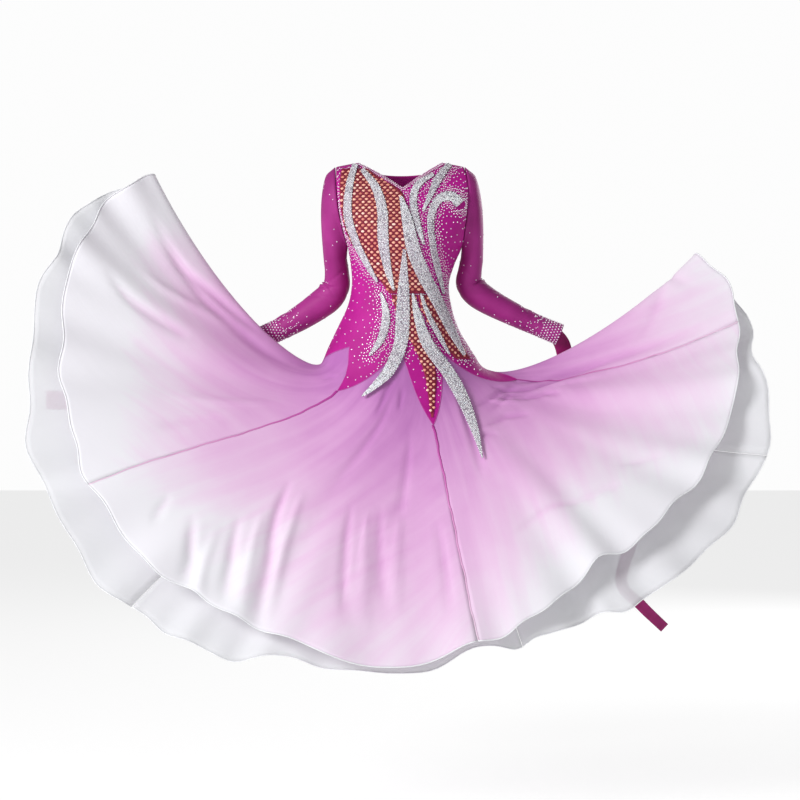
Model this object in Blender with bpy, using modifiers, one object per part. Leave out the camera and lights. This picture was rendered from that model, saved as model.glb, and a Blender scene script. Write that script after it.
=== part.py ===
"""Long-sleeved ballroom dance dress, worn and swept open to both sides.

The frame is metres with +Z up. The dress faces -Y and +X is the viewer's right.
The origin is the middle of the shoulder line, where the wearer holds the dress up.
One surface runs from the shoulders over the hips and down the swept skirt. Every
cloth piece is a patch of that surface with a wall, parted from the next by a seam gap.
"""
import math
from functools import lru_cache

import bmesh
import bpy
import numpy as np

# Cloth walls and clearances
SEAM_GAP = 0.0003
SEAM_EASE = 3.4
BODICE_WALL = 0.002
SLEEVE_WALL = 0.0015
SKIRT_WALL = 0.0015
NET_WALL = 0.001
BAND_WALL = 0.0014
FLOAT_WALL = 0.0015
LAID_GAP = 0.0012

# Heights of the body of the dress
UNDERARM = -0.205
HIP_LINE = -0.475
SHOULDER_DROP = 0.018
ARMHOLE_DEPTH = 0.052

# Neckline: half width at the shoulder line, depth of the front V and of the back scoop
NECK_HALF = 0.099
V_DEPTH = 0.073
SCOOP_DEPTH = 0.034

# Heights between which the bodice's rows lie level
CHEST_ROW = -0.130
WAIST_ROW = -0.405

# Torso sections from the shoulder line to the hip line
TORSO = {
    "z":      (0.000, -0.030, -0.072, -0.120, -0.165, -0.205, -0.245, -0.291,
               -0.341, -0.400, -0.447, -0.475, -0.510),
    "centre": (0.000, 0.003, 0.006, 0.007, 0.009, 0.011, 0.006, 0.001,
               -0.001, -0.005, -0.002, 0.001, 0.001),
    "half":   (0.148, 0.150, 0.151, 0.147, 0.140, 0.132, 0.120, 0.112,
               0.119, 0.142, 0.167, 0.181, 0.194),
    "front":  (-0.004, 0.042, 0.078, 0.105, 0.124, 0.126, 0.110, 0.094,
               0.097, 0.106, 0.112, 0.115, 0.119),
    "back":   (0.004, 0.055, 0.088, 0.104, 0.104, 0.098, 0.091, 0.088,
               0.098, 0.118, 0.131, 0.136, 0.140),
}

# Outer skirt: one row for each meridian, by its direction round the hips (0 is the
# front, 90 the viewer's right). Columns: place of the hem, how far the cloth falls
# along the hip before it turns out, how much it sags, and how early it turns.
SKIRT = (
    # turn,    x,      y,      z,     fall,  sag,   early
    (-84.0, -0.583, 0.000, -0.031, 0.050, 0.160, 0.42),
    (-74.0, -0.692, -0.070, -0.118, 0.070, 0.145, 0.42),
    (-64.0, -0.756, -0.150, -0.262, 0.090, 0.110, 0.42),
    (-54.0, -0.766, -0.230, -0.451, 0.115, 0.070, 0.44),
    (-44.0, -0.737, -0.300, -0.620, 0.135, 0.030, 0.45),
    (-35.0, -0.686, -0.350, -0.750, 0.145, 0.010, 0.45),
    (-24.0, -0.557, -0.400, -0.919, 0.155, 0.005, 0.45),
    (-12.0, -0.388, -0.430, -1.018, 0.160, 0.000, 0.45),
    (0.0, -0.185, -0.450, -1.107, 0.160, 0.000, 0.45),
    (7.0, 0.000, -0.460, -1.146, 0.160, 0.000, 0.45),
    (14.0, 0.170, -0.450, -1.092, 0.160, 0.000, 0.45),
    (24.0, 0.305, -0.430, -1.033, 0.155, 0.000, 0.45),
    (34.0, 0.417, -0.400, -0.930, 0.150, 0.005, 0.45),
    (44.0, 0.530, -0.360, -0.873, 0.140, 0.015, 0.45),
    (54.0, 0.646, -0.310, -0.760, 0.125, 0.030, 0.45),
    (64.0, 0.738, -0.240, -0.620, 0.110, 0.050, 0.45),
    (72.0, 0.772, -0.170, -0.495, 0.105, 0.070, 0.45),
    (80.0, 0.781, -0.100, -0.384, 0.100, 0.090, 0.45),
    (88.0, 0.753, -0.030, -0.267, 0.095, 0.100, 0.45),
    (94.0, 0.700, 0.020, -0.227, 0.090, 0.100, 0.45),
    (102.0, 0.705, 0.110, -0.330, 0.090, 0.070, 0.45),
    (112.0, 0.690, 0.230, -0.560, 0.100, 0.040, 0.45),
    (126.0, 0.570, 0.350, -0.850, 0.120, 0.010, 0.45),
    (145.0, 0.370, 0.440, -1.020, 0.140, 0.000, 0.45),
    (165.0, 0.130, 0.480, -1.070, 0.150, 0.000, 0.45),
    (185.0, -0.120, 0.480, -1.070, 0.150, 0.000, 0.45),
    (205.0, -0.360, 0.430, -1.010, 0.140, 0.000, 0.45),
    (226.0, -0.560, 0.350, -0.830, 0.110, 0.010, 0.45),
    (242.0, -0.650, 0.250, -0.530, 0.080, 0.050, 0.45),
    (256.0, -0.625, 0.130, -0.240, 0.060, 0.110, 0.44),
    (266.0, -0.585, 0.050, -0.090, 0.050, 0.150, 0.42),
)

# Largest folds of the outer skirt: direction, half width in degrees, height, and where
# along the skirt (0 hips, 1 hem) the fold starts and is full
FOLDS = (
    # turn, width, height, start, full
    (-66.0, 5.0, 0.012, 0.20, 0.75),
    (-57.0, 4.5, -0.010, 0.15, 0.70),
    (-25.0, 4.5, 0.006, 0.45, 0.95),
    (-8.0, 3.0, -0.007, 0.30, 0.90),
    (-3.0, 2.5, 0.006, 0.35, 0.90),
    (23.0, 4.0, 0.007, 0.35, 0.95),
    (31.0, 4.0, -0.007, 0.30, 0.95),
    (47.0, 4.0, 0.008, 0.25, 0.85),
    (64.0, 4.0, -0.008, 0.15, 0.60),
    (71.0, 3.5, 0.008, 0.15, 0.60),
    (117.0, 6.0, -0.014, 0.15, 0.95),
    (130.0, 6.5, 0.024, 0.15, 0.95),
    (143.0, 6.5, -0.026, 0.10, 0.95),
    (155.5, 6.0, 0.030, 0.10, 0.95),
    (168.0, 6.5, -0.026, 0.10, 0.95),
    (180.0, 6.0, 0.034, 0.10, 0.95),
    (192.0, 6.5, -0.028, 0.10, 0.95),
    (204.5, 6.0, 0.028, 0.10, 0.95),
    (217.5, 6.5, -0.022, 0.15, 0.95),
    (230.0, 6.0, 0.020, 0.15, 0.95),
    (242.0, 6.0, -0.012, 0.20, 0.95),
)

# Seam between bodice and skirt: direction and how far below the hip line it lies.
# Low corners are the points of the bodice, high ones the tips of the godets.
HIP_SEAM = (
    # turn, drop
    (-90.0, -0.004),
    (-44.0, -0.034),
    (-35.0, 0.085),
    (1.0, -0.034),
    (14.0, 0.160),
    (34.0, -0.022),
    (80.0, 0.110),
    (106.0, -0.030),
    (130.0, 0.090),
    (155.0, -0.030),
    (180.0, 0.110),
    (205.0, -0.030),
    (230.0, 0.090),
    (250.0, -0.030),
    (270.0, -0.004),
)

# Gores of the outer skirt: seam, godet tip and next seam, with the columns between them
GORES = (
    # name, from, tip, to, columns to the tip, columns after it
    ("skirt_side_left", -90.0, -44.0, -35.0, 10, 3),
    ("skirt_front_left", -35.0, 1.0, 14.0, 8, 4),
    ("skirt_front_right", 14.0, 34.0, 80.0, 4, 9),
    ("skirt_side_right", 80.0, 106.0, 130.0, 6, 6),
    ("skirt_back_right", 130.0, 155.0, 180.0, 6, 6),
    ("skirt_back_left", 180.0, 205.0, 230.0, 6, 6),
    ("skirt_rear_left", 230.0, 250.0, 270.0, 5, 6),
)
GORE_ROWS = 11
GORE_CROWDING = 1.45

# Underskirt hem: direction, how much longer than the outer skirt, how far inside it
UNDERSKIRT = (
    # turn, longer, inside
    (-84.0, -0.030, 0.020),
    (-72.0, 0.035, 0.028),
    (-58.0, 0.055, 0.034),
    (-44.0, 0.085, 0.045),
    (-35.0, 0.090, 0.050),
    (-20.0, 0.090, 0.055),
    (-8.0, 0.070, 0.055),
    (2.0, 0.000, 0.050),
    (14.0, 0.000, 0.050),
    (26.0, 0.045, 0.055),
    (38.0, 0.105, 0.060),
    (50.0, 0.105, 0.060),
    (60.0, 0.100, 0.055),
    (70.0, 0.060, 0.045),
    (80.0, 0.015, 0.030),
    (94.0, -0.020, 0.020),
    (120.0, -0.010, 0.030),
    (180.0, -0.010, 0.040),
    (240.0, -0.010, 0.030),
    (262.0, -0.020, 0.020),
)
UNDER_SEAMS = (-80.0, -22.0, 20.0, 62.0, 130.0, 180.0, 230.0, 280.0)
UNDER_NAMES = ("under_side_left", "under_front_left", "under_front_right",
               "under_side_right", "under_back_right", "under_back_left", "under_rear_left")
UNDER_COLUMNS = 8
UNDER_ROWS = 9
UNDER_CROWDING = 1.7
UNDER_TOP = -0.008
UNDER_CLEAR = 0.009
UNDER_WAVES = 14
UNDER_WAVE = 0.007

# Sleeve sections along the arm: place, radius in the plane of the arm and across it
SLEEVES = {
    "sleeve_left": (
        # x, y, z, radius in plane, radius across
        (-0.1525, 0.018, -0.232, 0.0260, 0.0420),
        (-0.149, 0.024, -0.262, 0.0270, 0.0400),
        (-0.150, 0.031, -0.293, 0.0300, 0.0380),
        (-0.166, 0.036, -0.319, 0.0330, 0.0370),
        (-0.193, 0.041, -0.341, 0.0320, 0.0350),
        (-0.237, 0.049, -0.370, 0.0285, 0.0310),
        (-0.285, 0.057, -0.396, 0.0250, 0.0280),
        (-0.324, 0.063, -0.414, 0.0245, 0.0275),
    ),
    "sleeve_right": (
        (0.1695, 0.018, -0.232, 0.0250, 0.0420),
        (0.1650, 0.024, -0.260, 0.0265, 0.0400),
        (0.163, 0.029, -0.288, 0.0295, 0.0380),
        (0.180, 0.033, -0.310, 0.0320, 0.0370),
        (0.210, 0.037, -0.331, 0.0300, 0.0350),
        (0.262, 0.043, -0.358, 0.0265, 0.0310),
        (0.320, 0.049, -0.385, 0.0235, 0.0270),
        (0.379, 0.054, -0.409, 0.0240, 0.0265),
    ),
}
SLEEVE_SIDES = 12
SLEEVE_STATIONS = 13
CAP_ROWS = 5
CAP_BULGE = 0.021
CAP_RISE = 0.024

# Net laid over the velvet: heights with the places of its left and right edges
NETS = {
    "net_chest": (
        # z, left edge, right edge
        (-0.026, -0.136, -0.078),
        (-0.052, -0.139, -0.042),
        (-0.082, -0.138, 0.002),
        (-0.120, -0.134, 0.016),
        (-0.165, -0.124, 0.028),
        (-0.205, -0.106, 0.040),
        (-0.245, -0.076, 0.054),
        (-0.285, -0.046, 0.068),
        (-0.318, -0.024, 0.080),
    ),
    "net_hip": (
        (-0.321, 0.040, 0.084),
        (-0.355, 0.048, 0.098),
        (-0.395, 0.070, 0.118),
        (-0.435, 0.098, 0.140),
        (-0.470, 0.128, 0.162),
    ),
    "net_front_point": (
        (-0.321, -0.020, 0.037),
        (-0.360, -0.008, 0.042),
        (-0.410, 0.014, 0.054),
        (-0.460, 0.040, 0.072),
        (-0.510, 0.057, 0.083),
        (-0.560, 0.065, 0.080),
        (-0.605, 0.071, 0.076),
    ),
}
NET_FACET = 0.0165

# Stoned bands of the bodice: front-view places of the middle line and the full width
BANDS = {
    "band_shoulder_left_outer": (
        # x, z, width
        (-0.104, -0.016, 0.013),
        (-0.116, -0.070, 0.017),
        (-0.117, -0.135, 0.018),
        (-0.099, -0.192, 0.016),
        (-0.076, -0.241, 0.014),
        (-0.050, -0.290, 0.006),
    ),
    "band_shoulder_left_inner": (
        (-0.088, -0.030, 0.010),
        (-0.056, -0.074, 0.019),
        (-0.040, -0.130, 0.023),
        (-0.037, -0.195, 0.024),
        (-0.026, -0.262, 0.016),
        (-0.014, -0.310, 0.005),
    ),
    "band_neck_centre": (
        (0.002, -0.096, 0.007),
        (0.016, -0.150, 0.024),
        (0.030, -0.215, 0.030),
        (0.056, -0.280, 0.030),
        (0.088, -0.345, 0.026),
        (0.118, -0.410, 0.019),
        (0.146, -0.462, 0.007),
    ),
    "band_neck_right": (
        (0.078, -0.040, 0.008),
        (0.042, -0.066, 0.015),
        (0.030, -0.105, 0.017),
        (0.040, -0.160, 0.014),
        (0.054, -0.205, 0.006),
    ),
    "band_shoulder_right": (
        (0.116, -0.012, 0.014),
        (0.086, -0.056, 0.018),
        (0.064, -0.104, 0.010),
        (0.052, -0.130, 0.005),
    ),
    "band_armhole_right": (
        (0.142, -0.112, 0.024),
        (0.118, -0.092, 0.022),
        (0.088, -0.102, 0.019),
        (0.070, -0.145, 0.016),
        (0.074, -0.205, 0.015),
        (0.084, -0.252, 0.015),
        (0.093, -0.290, 0.010),
        (0.099, -0.318, 0.005),
    ),
    "band_hip_left": (
        (-0.044, -0.315, 0.005),
        (-0.035, -0.345, 0.013),
        (-0.032, -0.380, 0.019),
        (-0.044, -0.425, 0.017),
        (-0.070, -0.462, 0.005),
    ),
    "band_waist_right": (
        (0.046, -0.318, 0.005),
        (0.060, -0.360, 0.010),
        (0.084, -0.410, 0.012),
        (0.112, -0.460, 0.005),
    ),
    "band_tail_left": (
        (0.010, -0.215, 0.006),
        (0.008, -0.290, 0.022),
        (0.006, -0.370, 0.031),
        (0.000, -0.440, 0.030),
        (-0.026, -0.500, 0.026),
        (-0.060, -0.538, 0.014),
        (-0.086, -0.560, 0.004),
    ),
    "band_tail_right": (
        (0.028, -0.318, 0.005),
        (0.040, -0.374, 0.018),
        (0.062, -0.435, 0.027),
        (0.106, -0.500, 0.029),
        (0.142, -0.565, 0.027),
        (0.170, -0.635, 0.018),
        (0.188, -0.700, 0.004),
    ),
}
BAND_STATIONS = 17
NARROW_BAND = 0.0155
TAILS = ("band_tail_left", "band_tail_right")

# How far each band lies off the velvet, which is more where it crosses net
BAND_OVER = {
    "band_shoulder_left_outer": 0.0038,
    "band_shoulder_left_inner": 0.0038,
    "band_neck_centre": 0.0038,
    "band_neck_right": 0.0012,
    "band_shoulder_right": 0.0012,
    "band_armhole_right": 0.0012,
    "band_hip_left": 0.0009,
    "band_waist_right": 0.0034,
    "band_tail_left": 0.0037,
    "band_tail_right": 0.0034,
}
TAIL_LIFT = 0.0045

# Floats from the wrists: direction round the skirt and share of the way down it, then
# the free end beyond the hem, and the width
FLOATS = {
    "float_left": {
        "wrist": ((-0.315, 0.0928, -0.409), (-0.330, 0.097, -0.436), (-0.348, 0.108, -0.466)),
        "over": ((250.0, 0.46), (250.0, 0.57), (249.0, 0.69), (247.0, 0.80), (244.5, 0.91),
                 (241.5, 1.02)),
        "end": ((-0.715, 0.275, -0.572), (-0.795, 0.270, -0.566), (-0.868, 0.262, -0.564)),
        "width": (0.034, 0.038, 0.040, 0.042, 0.044, 0.046, 0.048, 0.048, 0.048, 0.048, 0.046,
                  0.046),
    },
    "float_right": {
        "wrist": ((0.369, 0.0829, -0.4055), (0.386, 0.088, -0.430), (0.396, 0.097, -0.462)),
        "over": ((108.5, 0.48), (111.0, 0.59), (114.5, 0.71), (118.5, 0.84), (122.0, 0.98)),
        "end": ((0.584, 0.410, -0.905), (0.556, 0.412, -1.020), (0.606, 0.410, -1.080),
                (0.664, 0.406, -1.136)),
        "width": (0.034, 0.038, 0.038, 0.038, 0.038, 0.037, 0.036, 0.034, 0.032, 0.030,
                  0.028, 0.026),
    },
}
FLOAT_LIFT = 0.013
FLOAT_STATIONS = 24

COLOURS = {
    "velvet": ((0.56, 0.03, 0.34, 1.0), 0.55),
    "mesh": ((0.46, 0.05, 0.30, 1.0), 0.60),
    "organza": ((0.72, 0.45, 0.70, 1.0), 0.50),
    "lining_organza": ((0.80, 0.80, 0.84, 1.0), 0.50),
    "net": ((0.30, 0.03, 0.05, 1.0), 0.60),
    "stones": ((0.82, 0.86, 0.88, 1.0), 0.15),
    "float": ((0.30, 0.00, 0.13, 1.0), 0.50),
}


def material(name):
    """The named cloth or stone finish, made once."""
    found = bpy.data.materials.get(name)
    if found:
        return found
    colour, roughness = COLOURS[name]
    made = bpy.data.materials.new(name)
    made.use_nodes = True
    shader = made.node_tree.nodes["Principled BSDF"]
    shader.inputs["Base Color"].default_value = colour
    shader.inputs["Roughness"].default_value = roughness
    shader.inputs["Metallic"].default_value = 0.0
    return made


def smooth(value, low, high):
    """0 below low, 1 above high, and a soft step between."""
    share = min(max((value - low) / (high - low), 0.0), 1.0)
    return share * share * (3.0 - 2.0 * share)


def wrap(turn):
    """A direction brought into -90 to 270 degrees."""
    return (turn + 90.0) % 360.0 - 90.0


def round_table(rows, turn):
    """Smooth values of a table of directions that closes on itself."""
    turns = [row[0] for row in rows]
    count = len(rows)
    turn = (turn - turns[0]) % 360.0 + turns[0]
    index = max(i for i in range(count) if turns[i] <= turn)

    def node(i):
        lap, place = divmod(i, count)
        return turns[place] + 360.0 * lap, np.array(rows[place][1:])

    t0, p0 = node(index - 1)
    t1, p1 = node(index)
    t2, p2 = node(index + 1)
    t3, p3 = node(index + 2)
    span = t2 - t1
    slope_in = ((p2 - p1) / span + (p1 - p0) / (t1 - t0)) / 2.0
    slope_out = ((p3 - p2) / (t3 - t2) + (p2 - p1) / span) / 2.0
    u = (turn - t1) / span
    return ((2 * u ** 3 - 3 * u ** 2 + 1) * p1 + (u ** 3 - 2 * u ** 2 + u) * span * slope_in
            + (3 * u ** 2 - 2 * u ** 3) * p2 + (u ** 3 - u ** 2) * span * slope_out)


def line_table(rows, share):
    """Smooth values of an open table read from 0 to 1 along its rows."""
    rows = [np.array(row, dtype=float) for row in rows]
    place = share * (len(rows) - 1)
    index = min(int(place), len(rows) - 2)
    u = place - index
    p1, p2 = rows[index], rows[index + 1]
    p0 = rows[index - 1] if index > 0 else 2 * p1 - p2
    p3 = rows[index + 2] if index + 2 < len(rows) else 2 * p2 - p1
    return 0.5 * (2 * p1 + (p2 - p0) * u + (2 * p0 - 5 * p1 + 4 * p2 - p3) * u ** 2
                  + (3 * p1 - p0 - 3 * p2 + p3) * u ** 3)


def torso_size(column, z):
    """One size of the torso at a height, smoothly between its sections."""
    heights = TORSO["z"]
    sizes = TORSO[column]
    z = min(max(z, heights[-1]), heights[0])
    index = max(i for i in range(len(heights) - 1) if heights[i] >= z)
    spans = [heights[i + 1] - heights[i] for i in range(len(heights) - 1)]
    slopes = [(sizes[i + 1] - sizes[i]) / spans[i] for i in range(len(spans))]
    slope_in = slopes[0] if index == 0 else (slopes[index - 1] + slopes[index]) / 2
    slope_out = slopes[-1] if index + 1 == len(spans) else (slopes[index] + slopes[index + 1]) / 2
    u = (z - heights[index]) / spans[index]
    return ((2 * u ** 3 - 3 * u ** 2 + 1) * sizes[index]
            + (u ** 3 - 2 * u ** 2 + u) * spans[index] * slope_in
            + (3 * u ** 2 - 2 * u ** 3) * sizes[index + 1]
            + (u ** 3 - u ** 2) * spans[index] * slope_out)


def armhole_reach(z):
    """How far the armhole's edge stands in front of or behind the side at a height."""
    rise = min(max((z - UNDERARM) / -UNDERARM, 0.0), 1.0)
    return ARMHOLE_DEPTH * 2.0 * math.sqrt(rise * (1.0 - rise)), rise


def torso(turn, z):
    """A point of the body of the dress in a direction, at a height of its centre line."""
    angle = math.radians(turn)
    reach, rise = armhole_reach(z)
    x = torso_size("centre", z) + torso_size("half", z) * math.sin(angle)
    ahead = math.cos(angle)
    if ahead >= 0.0:
        y = -(reach + (torso_size("front", z) - reach) * ahead)
    else:
        y = reach + (torso_size("back", z) - reach) * -ahead
    return np.array((x, y, z - SHOULDER_DROP * rise ** 2 * math.sin(angle) ** 2))


@lru_cache(maxsize=None)
def meridian(turn):
    """The skirt's line in a direction: Bezier points, their steps and lengths."""
    x, y, z, fall, sag, early = round_table(SKIRT, turn)
    top = torso(turn, HIP_LINE)
    slope = top - torso(turn, HIP_LINE + 0.02)
    slope /= np.linalg.norm(slope)
    hem = np.array((x, y, z))
    first = top + fall * slope
    second = hem + early * (top - hem) - np.array((0.0, 0.0, sag))
    steps = np.linspace(0.0, 1.3, 53)
    points = np.array([(1 - t) ** 3 * top + 3 * (1 - t) ** 2 * t * first
                       + 3 * (1 - t) * t ** 2 * second + t ** 3 * hem for t in steps])
    lengths = np.concatenate(([0.0], np.cumsum(np.linalg.norm(np.diff(points, axis=0), axis=1))))
    return (top, first, second, hem), steps, lengths


def skirt_length(turn):
    """Length of the skirt from the hip line to the hem in a direction."""
    _, steps, lengths = meridian(round(wrap(turn), 4))
    return float(np.interp(1.0, steps, lengths))


def base(turn, drop):
    """The dress without its folds, at a drop below the hip line along the cloth."""
    if drop <= 0.0:
        return torso(turn, HIP_LINE - drop)
    (top, first, second, hem), steps, lengths = meridian(round(wrap(turn), 4))
    t = float(np.interp(drop, lengths, steps))
    return ((1 - t) ** 3 * top + 3 * (1 - t) ** 2 * t * first
            + 3 * (1 - t) * t ** 2 * second + t ** 3 * hem)


def outward(turn, drop):
    """The direction out of the cloth at a point of the base surface."""
    small_turn, small_drop = 0.4, 0.002
    across = base(turn + small_turn, drop) - base(turn - small_turn, drop)
    down = base(turn, drop + small_drop) - base(turn, drop - small_drop)
    normal = np.cross(down, across)
    return normal / np.linalg.norm(normal)


def fold_height(turn, share):
    """How far the large folds lift the outer skirt at a share of the way down."""
    height = 0.0
    for middle, width, rise, start, full in FOLDS:
        away = abs((turn - middle + 180.0) % 360.0 - 180.0) / width
        if away < 2.0 and share > start:
            height += rise * math.cos(away * math.pi / 4) ** 2 * smooth(share, start, full)
    return height


def cloth(turn, drop, lift=0.0):
    """A point of the dress's outer cloth, moved out by lift."""
    share = drop / skirt_length(turn)
    height = lift + (fold_height(turn, share) if drop > 0.0 else 0.0)
    point = base(turn, drop)
    return point + height * outward(turn, drop) if height else point


def hip_seam(turn):
    """The seam's drop and its steepness, which widens its gap measured downwards."""
    turn = wrap(turn)
    for (left, low), (right, high) in zip(HIP_SEAM, HIP_SEAM[1:]):
        if left <= turn <= right:
            radius = torso_size("half", HIP_LINE)
            steep = abs(high - low) / (math.radians(right - left) * radius)
            return low + (high - low) * (turn - left) / (right - left), math.hypot(1.0, steep)
    return HIP_SEAM[0][1], 1.0


def seam_side(turn, side):
    """The seam's drop on the bodice's side (-1) or the skirt's side (+1) of its gap."""
    drop, steep = hip_seam(turn)
    nearby = max(steep, hip_seam(turn - 0.5)[1], hip_seam(turn + 0.5)[1])
    return drop + side * 0.5 * SEAM_GAP * nearby * SEAM_EASE


def columns(*stops):
    """Directions from stops given as direction, number of columns, direction, ..."""
    turns = [stops[0]]
    for count, end in zip(stops[1::2], stops[2::2]):
        start = turns[-1]
        turns += [start + (end - start) * (i + 1) / count for i in range(count)]
    return turns


def parted(grid):
    """The grid with its first and last columns half a seam gap further in."""
    grid = [[np.array(point) for point in row] for row in grid]
    for row in grid:
        for edge, inner in ((0, 1), (-1, -2)):
            step = row[inner] - row[edge]
            row[edge] = row[edge] + step * (0.8 * SEAM_GAP / np.linalg.norm(step))
    return grid


def panel(name, grid, wall, finish, closed=False):
    """A cloth piece: a grid of points as an open surface, thickened outwards."""
    mesh = bpy.data.meshes.new(name)
    work = bmesh.new()
    verts = [[work.verts.new(tuple(point)) for point in row] for row in grid]
    across = len(grid[0]) if closed else len(grid[0]) - 1
    for upper, lower in zip(verts, verts[1:]):
        for i in range(across):
            j = (i + 1) % len(upper)
            work.faces.new((upper[i], lower[i], lower[j], upper[j]))
    work.to_mesh(mesh)
    work.free()
    mesh.shade_smooth()
    piece = bpy.data.objects.new(name, mesh)
    DRESS.objects.link(piece)
    mesh.materials.append(material(finish))
    solid = piece.modifiers.new("wall", "SOLIDIFY")
    solid.thickness = wall
    solid.offset = 1.0
    solid.use_even_offset = False
    return piece


def neck_height(turn, depth):
    """The height where a bodice column ends: the shoulder seam, or the neckline."""
    x = abs(math.sin(math.radians(turn))) * TORSO["half"][0]
    if x >= NECK_HALF:
        return -SEAM_GAP
    share = x / NECK_HALF
    return -depth * (1.0 - share) if depth == V_DEPTH else -depth * math.sqrt(1.0 - share ** 2)


NECK_TURN = math.degrees(math.asin(NECK_HALF / TORSO["half"][0]))
FRONT_TURNS = columns(-90.0, 2, -70.0, 1, -57.0, 1, -44.0, 1, -NECK_TURN, 1, -35.0, 2, -17.0,
                      2, 1.0, 2, 14.0, 2, 34.0, 1, NECK_TURN, 4, 80.0, 1, 90.0)
BACK_TURNS = columns(90.01, 1, 98.0, 1, 106.0, 2, 130.0, 1, 180.0 - NECK_TURN, 1, 155.0, 2, 180.0,
                     2, 205.0, 1, 180.0 + NECK_TURN, 1, 230.0, 1, 250.0, 1, 260.0, 1, 269.99)


def seam_point(turn, side):
    """A point of the hip seam, on the straight run between two bodice columns."""
    stations = FRONT_TURNS if turn <= 90.0 else BACK_TURNS
    for left, right in zip(stations, stations[1:]):
        if left - 0.02 <= turn <= right + 0.02:
            share = min(max((turn - left) / (right - left), 0.0), 1.0)
            return (cloth(left, seam_side(left, side)) * (1.0 - share)
                    + cloth(right, seam_side(right, side)) * share)
    return cloth(turn, seam_side(turn, side))


def bodice():
    """Front and back of stretch velvet, joined at the shoulders and the sides."""
    for name, turns, depth, rows in (("bodice_front", FRONT_TURNS, V_DEPTH, (4, 11, 5)),
                                     ("bodice_back", BACK_TURNS, SCOOP_DEPTH, (4, 7, 4))):
        grid = [[] for _ in range(sum(rows) + 1)]
        for turn in turns:
            stops = (neck_height(turn, depth), CHEST_ROW, WAIST_ROW,
                     HIP_LINE - seam_side(turn, -1.0))
            heights = columns(stops[0], rows[0], stops[1], rows[1], stops[2], rows[2], stops[3])
            for i, z in enumerate(heights):
                grid[i].append(cloth(turn, HIP_LINE - z))
        panel(name, parted(grid), BODICE_WALL, "velvet")


def skirt():
    """Seven gores of ombre organza with godet tips let into the bodice."""
    for name, start, tip, end, before, after in GORES:
        turns = sorted(set(columns(start, before, tip, after, end)
                           + ([90.0] if start < 90.0 < end else [])))
        grid = []
        for i in range(GORE_ROWS + 1):
            share = (i / GORE_ROWS) ** GORE_CROWDING
            row = []
            for turn in turns:
                top = seam_side(turn, 1.0)
                row.append(cloth(turn, top + (skirt_length(turn) - top) * share))
            grid.append(row)
        grid[0] = [seam_point(turn, 1.0) for turn in turns]
        panel(name, parted(grid), SKIRT_WALL, "organza")


def under_point(turn, share):
    """A point of the underskirt, inside the outer one and longer than it."""
    longer, inside = round_table(UNDERSKIRT, turn)
    length = skirt_length(turn)
    drop = UNDER_TOP + (length + longer - UNDER_TOP) * share
    clear = BODICE_WALL + 1.5 * LAID_GAP
    wave = UNDER_WAVE * share ** 3 * math.sin(math.radians(turn) * UNDER_WAVES)
    near = clear + (UNDER_CLEAR - clear) * smooth(drop, UNDER_TOP, 0.03)
    depth = near + (inside - UNDER_CLEAR) * smooth(share, 0.0, 0.9) + wave
    height = fold_height(turn, min(drop / length, 1.0)) if drop > 0.0 else 0.0
    return base(turn, drop) + (height - depth) * outward(turn, drop)


def underskirt():
    """Seven panels of pale organza hung inside from the hip seam."""
    for name, start, end in zip(UNDER_NAMES, UNDER_SEAMS, UNDER_SEAMS[1:]):
        turns = columns(start, UNDER_COLUMNS, end)
        grid = [[under_point(turn, (i / UNDER_ROWS) ** UNDER_CROWDING) for turn in turns]
                for i in range(UNDER_ROWS + 1)]
        panel(name, parted(grid), SKIRT_WALL, "lining_organza")


def armhole_ring(side):
    """Points of the armhole's edge, from the shoulder tip forwards and round."""
    points = []
    for i in range(SLEEVE_SIDES):
        angle = 2.0 * math.pi * i / SLEEVE_SIDES
        z = UNDERARM * (1.0 - math.cos(angle)) / 2.0
        edge = torso(90.0 * side, z)
        edge[1] = -ARMHOLE_DEPTH * math.sin(angle)
        points.append(edge)
    return points


def sleeve(name, rows, side):
    """A long fitted sleeve from the armhole, over the elbow, to the wrist."""
    stations = SLEEVE_STATIONS
    places = [line_table(rows, i / (stations - 1)) for i in range(stations)]
    rings = []
    for i, place in enumerate(places):
        ahead = places[min(i + 1, stations - 1)][:3] - places[max(i - 1, 0)][:3]
        ahead /= np.linalg.norm(ahead)
        front = np.array((0.0, -1.0, 0.0))
        outer = np.cross(front, ahead) * side
        outer /= np.linalg.norm(outer)
        ring = []
        for k in range(SLEEVE_SIDES):
            angle = 2.0 * math.pi * k / SLEEVE_SIDES
            ring.append(place[:3] + outer * place[3] * math.cos(angle)
                        + front * place[4] * math.sin(angle))
        rings.append(ring)
    edge = armhole_ring(side)
    away = np.array((side * (SEAM_GAP + BODICE_WALL * 1.6), 0.0, 0.0))
    cap = [point + away for point in edge]
    grid = [cap]
    for i in range(1, CAP_ROWS):
        share = i / CAP_ROWS
        bulge = CAP_BULGE * math.sin(math.pi * share ** 0.7)
        rise = CAP_RISE * (1.0 - share)
        row = []
        for k in range(SLEEVE_SIDES):
            over = (1.0 + math.cos(2.0 * math.pi * k / SLEEVE_SIDES)) / 2.0
            point = cap[k] * (1.0 - share) + rings[0][k] * share
            row.append(point + over * np.array((side * bulge, 0.0, rise)))
        grid.append(row)
    grid += rings
    if side > 0:
        grid = [row[::-1] for row in grid]
    panel(name, grid, SLEEVE_WALL, "mesh", closed=True)


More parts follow.
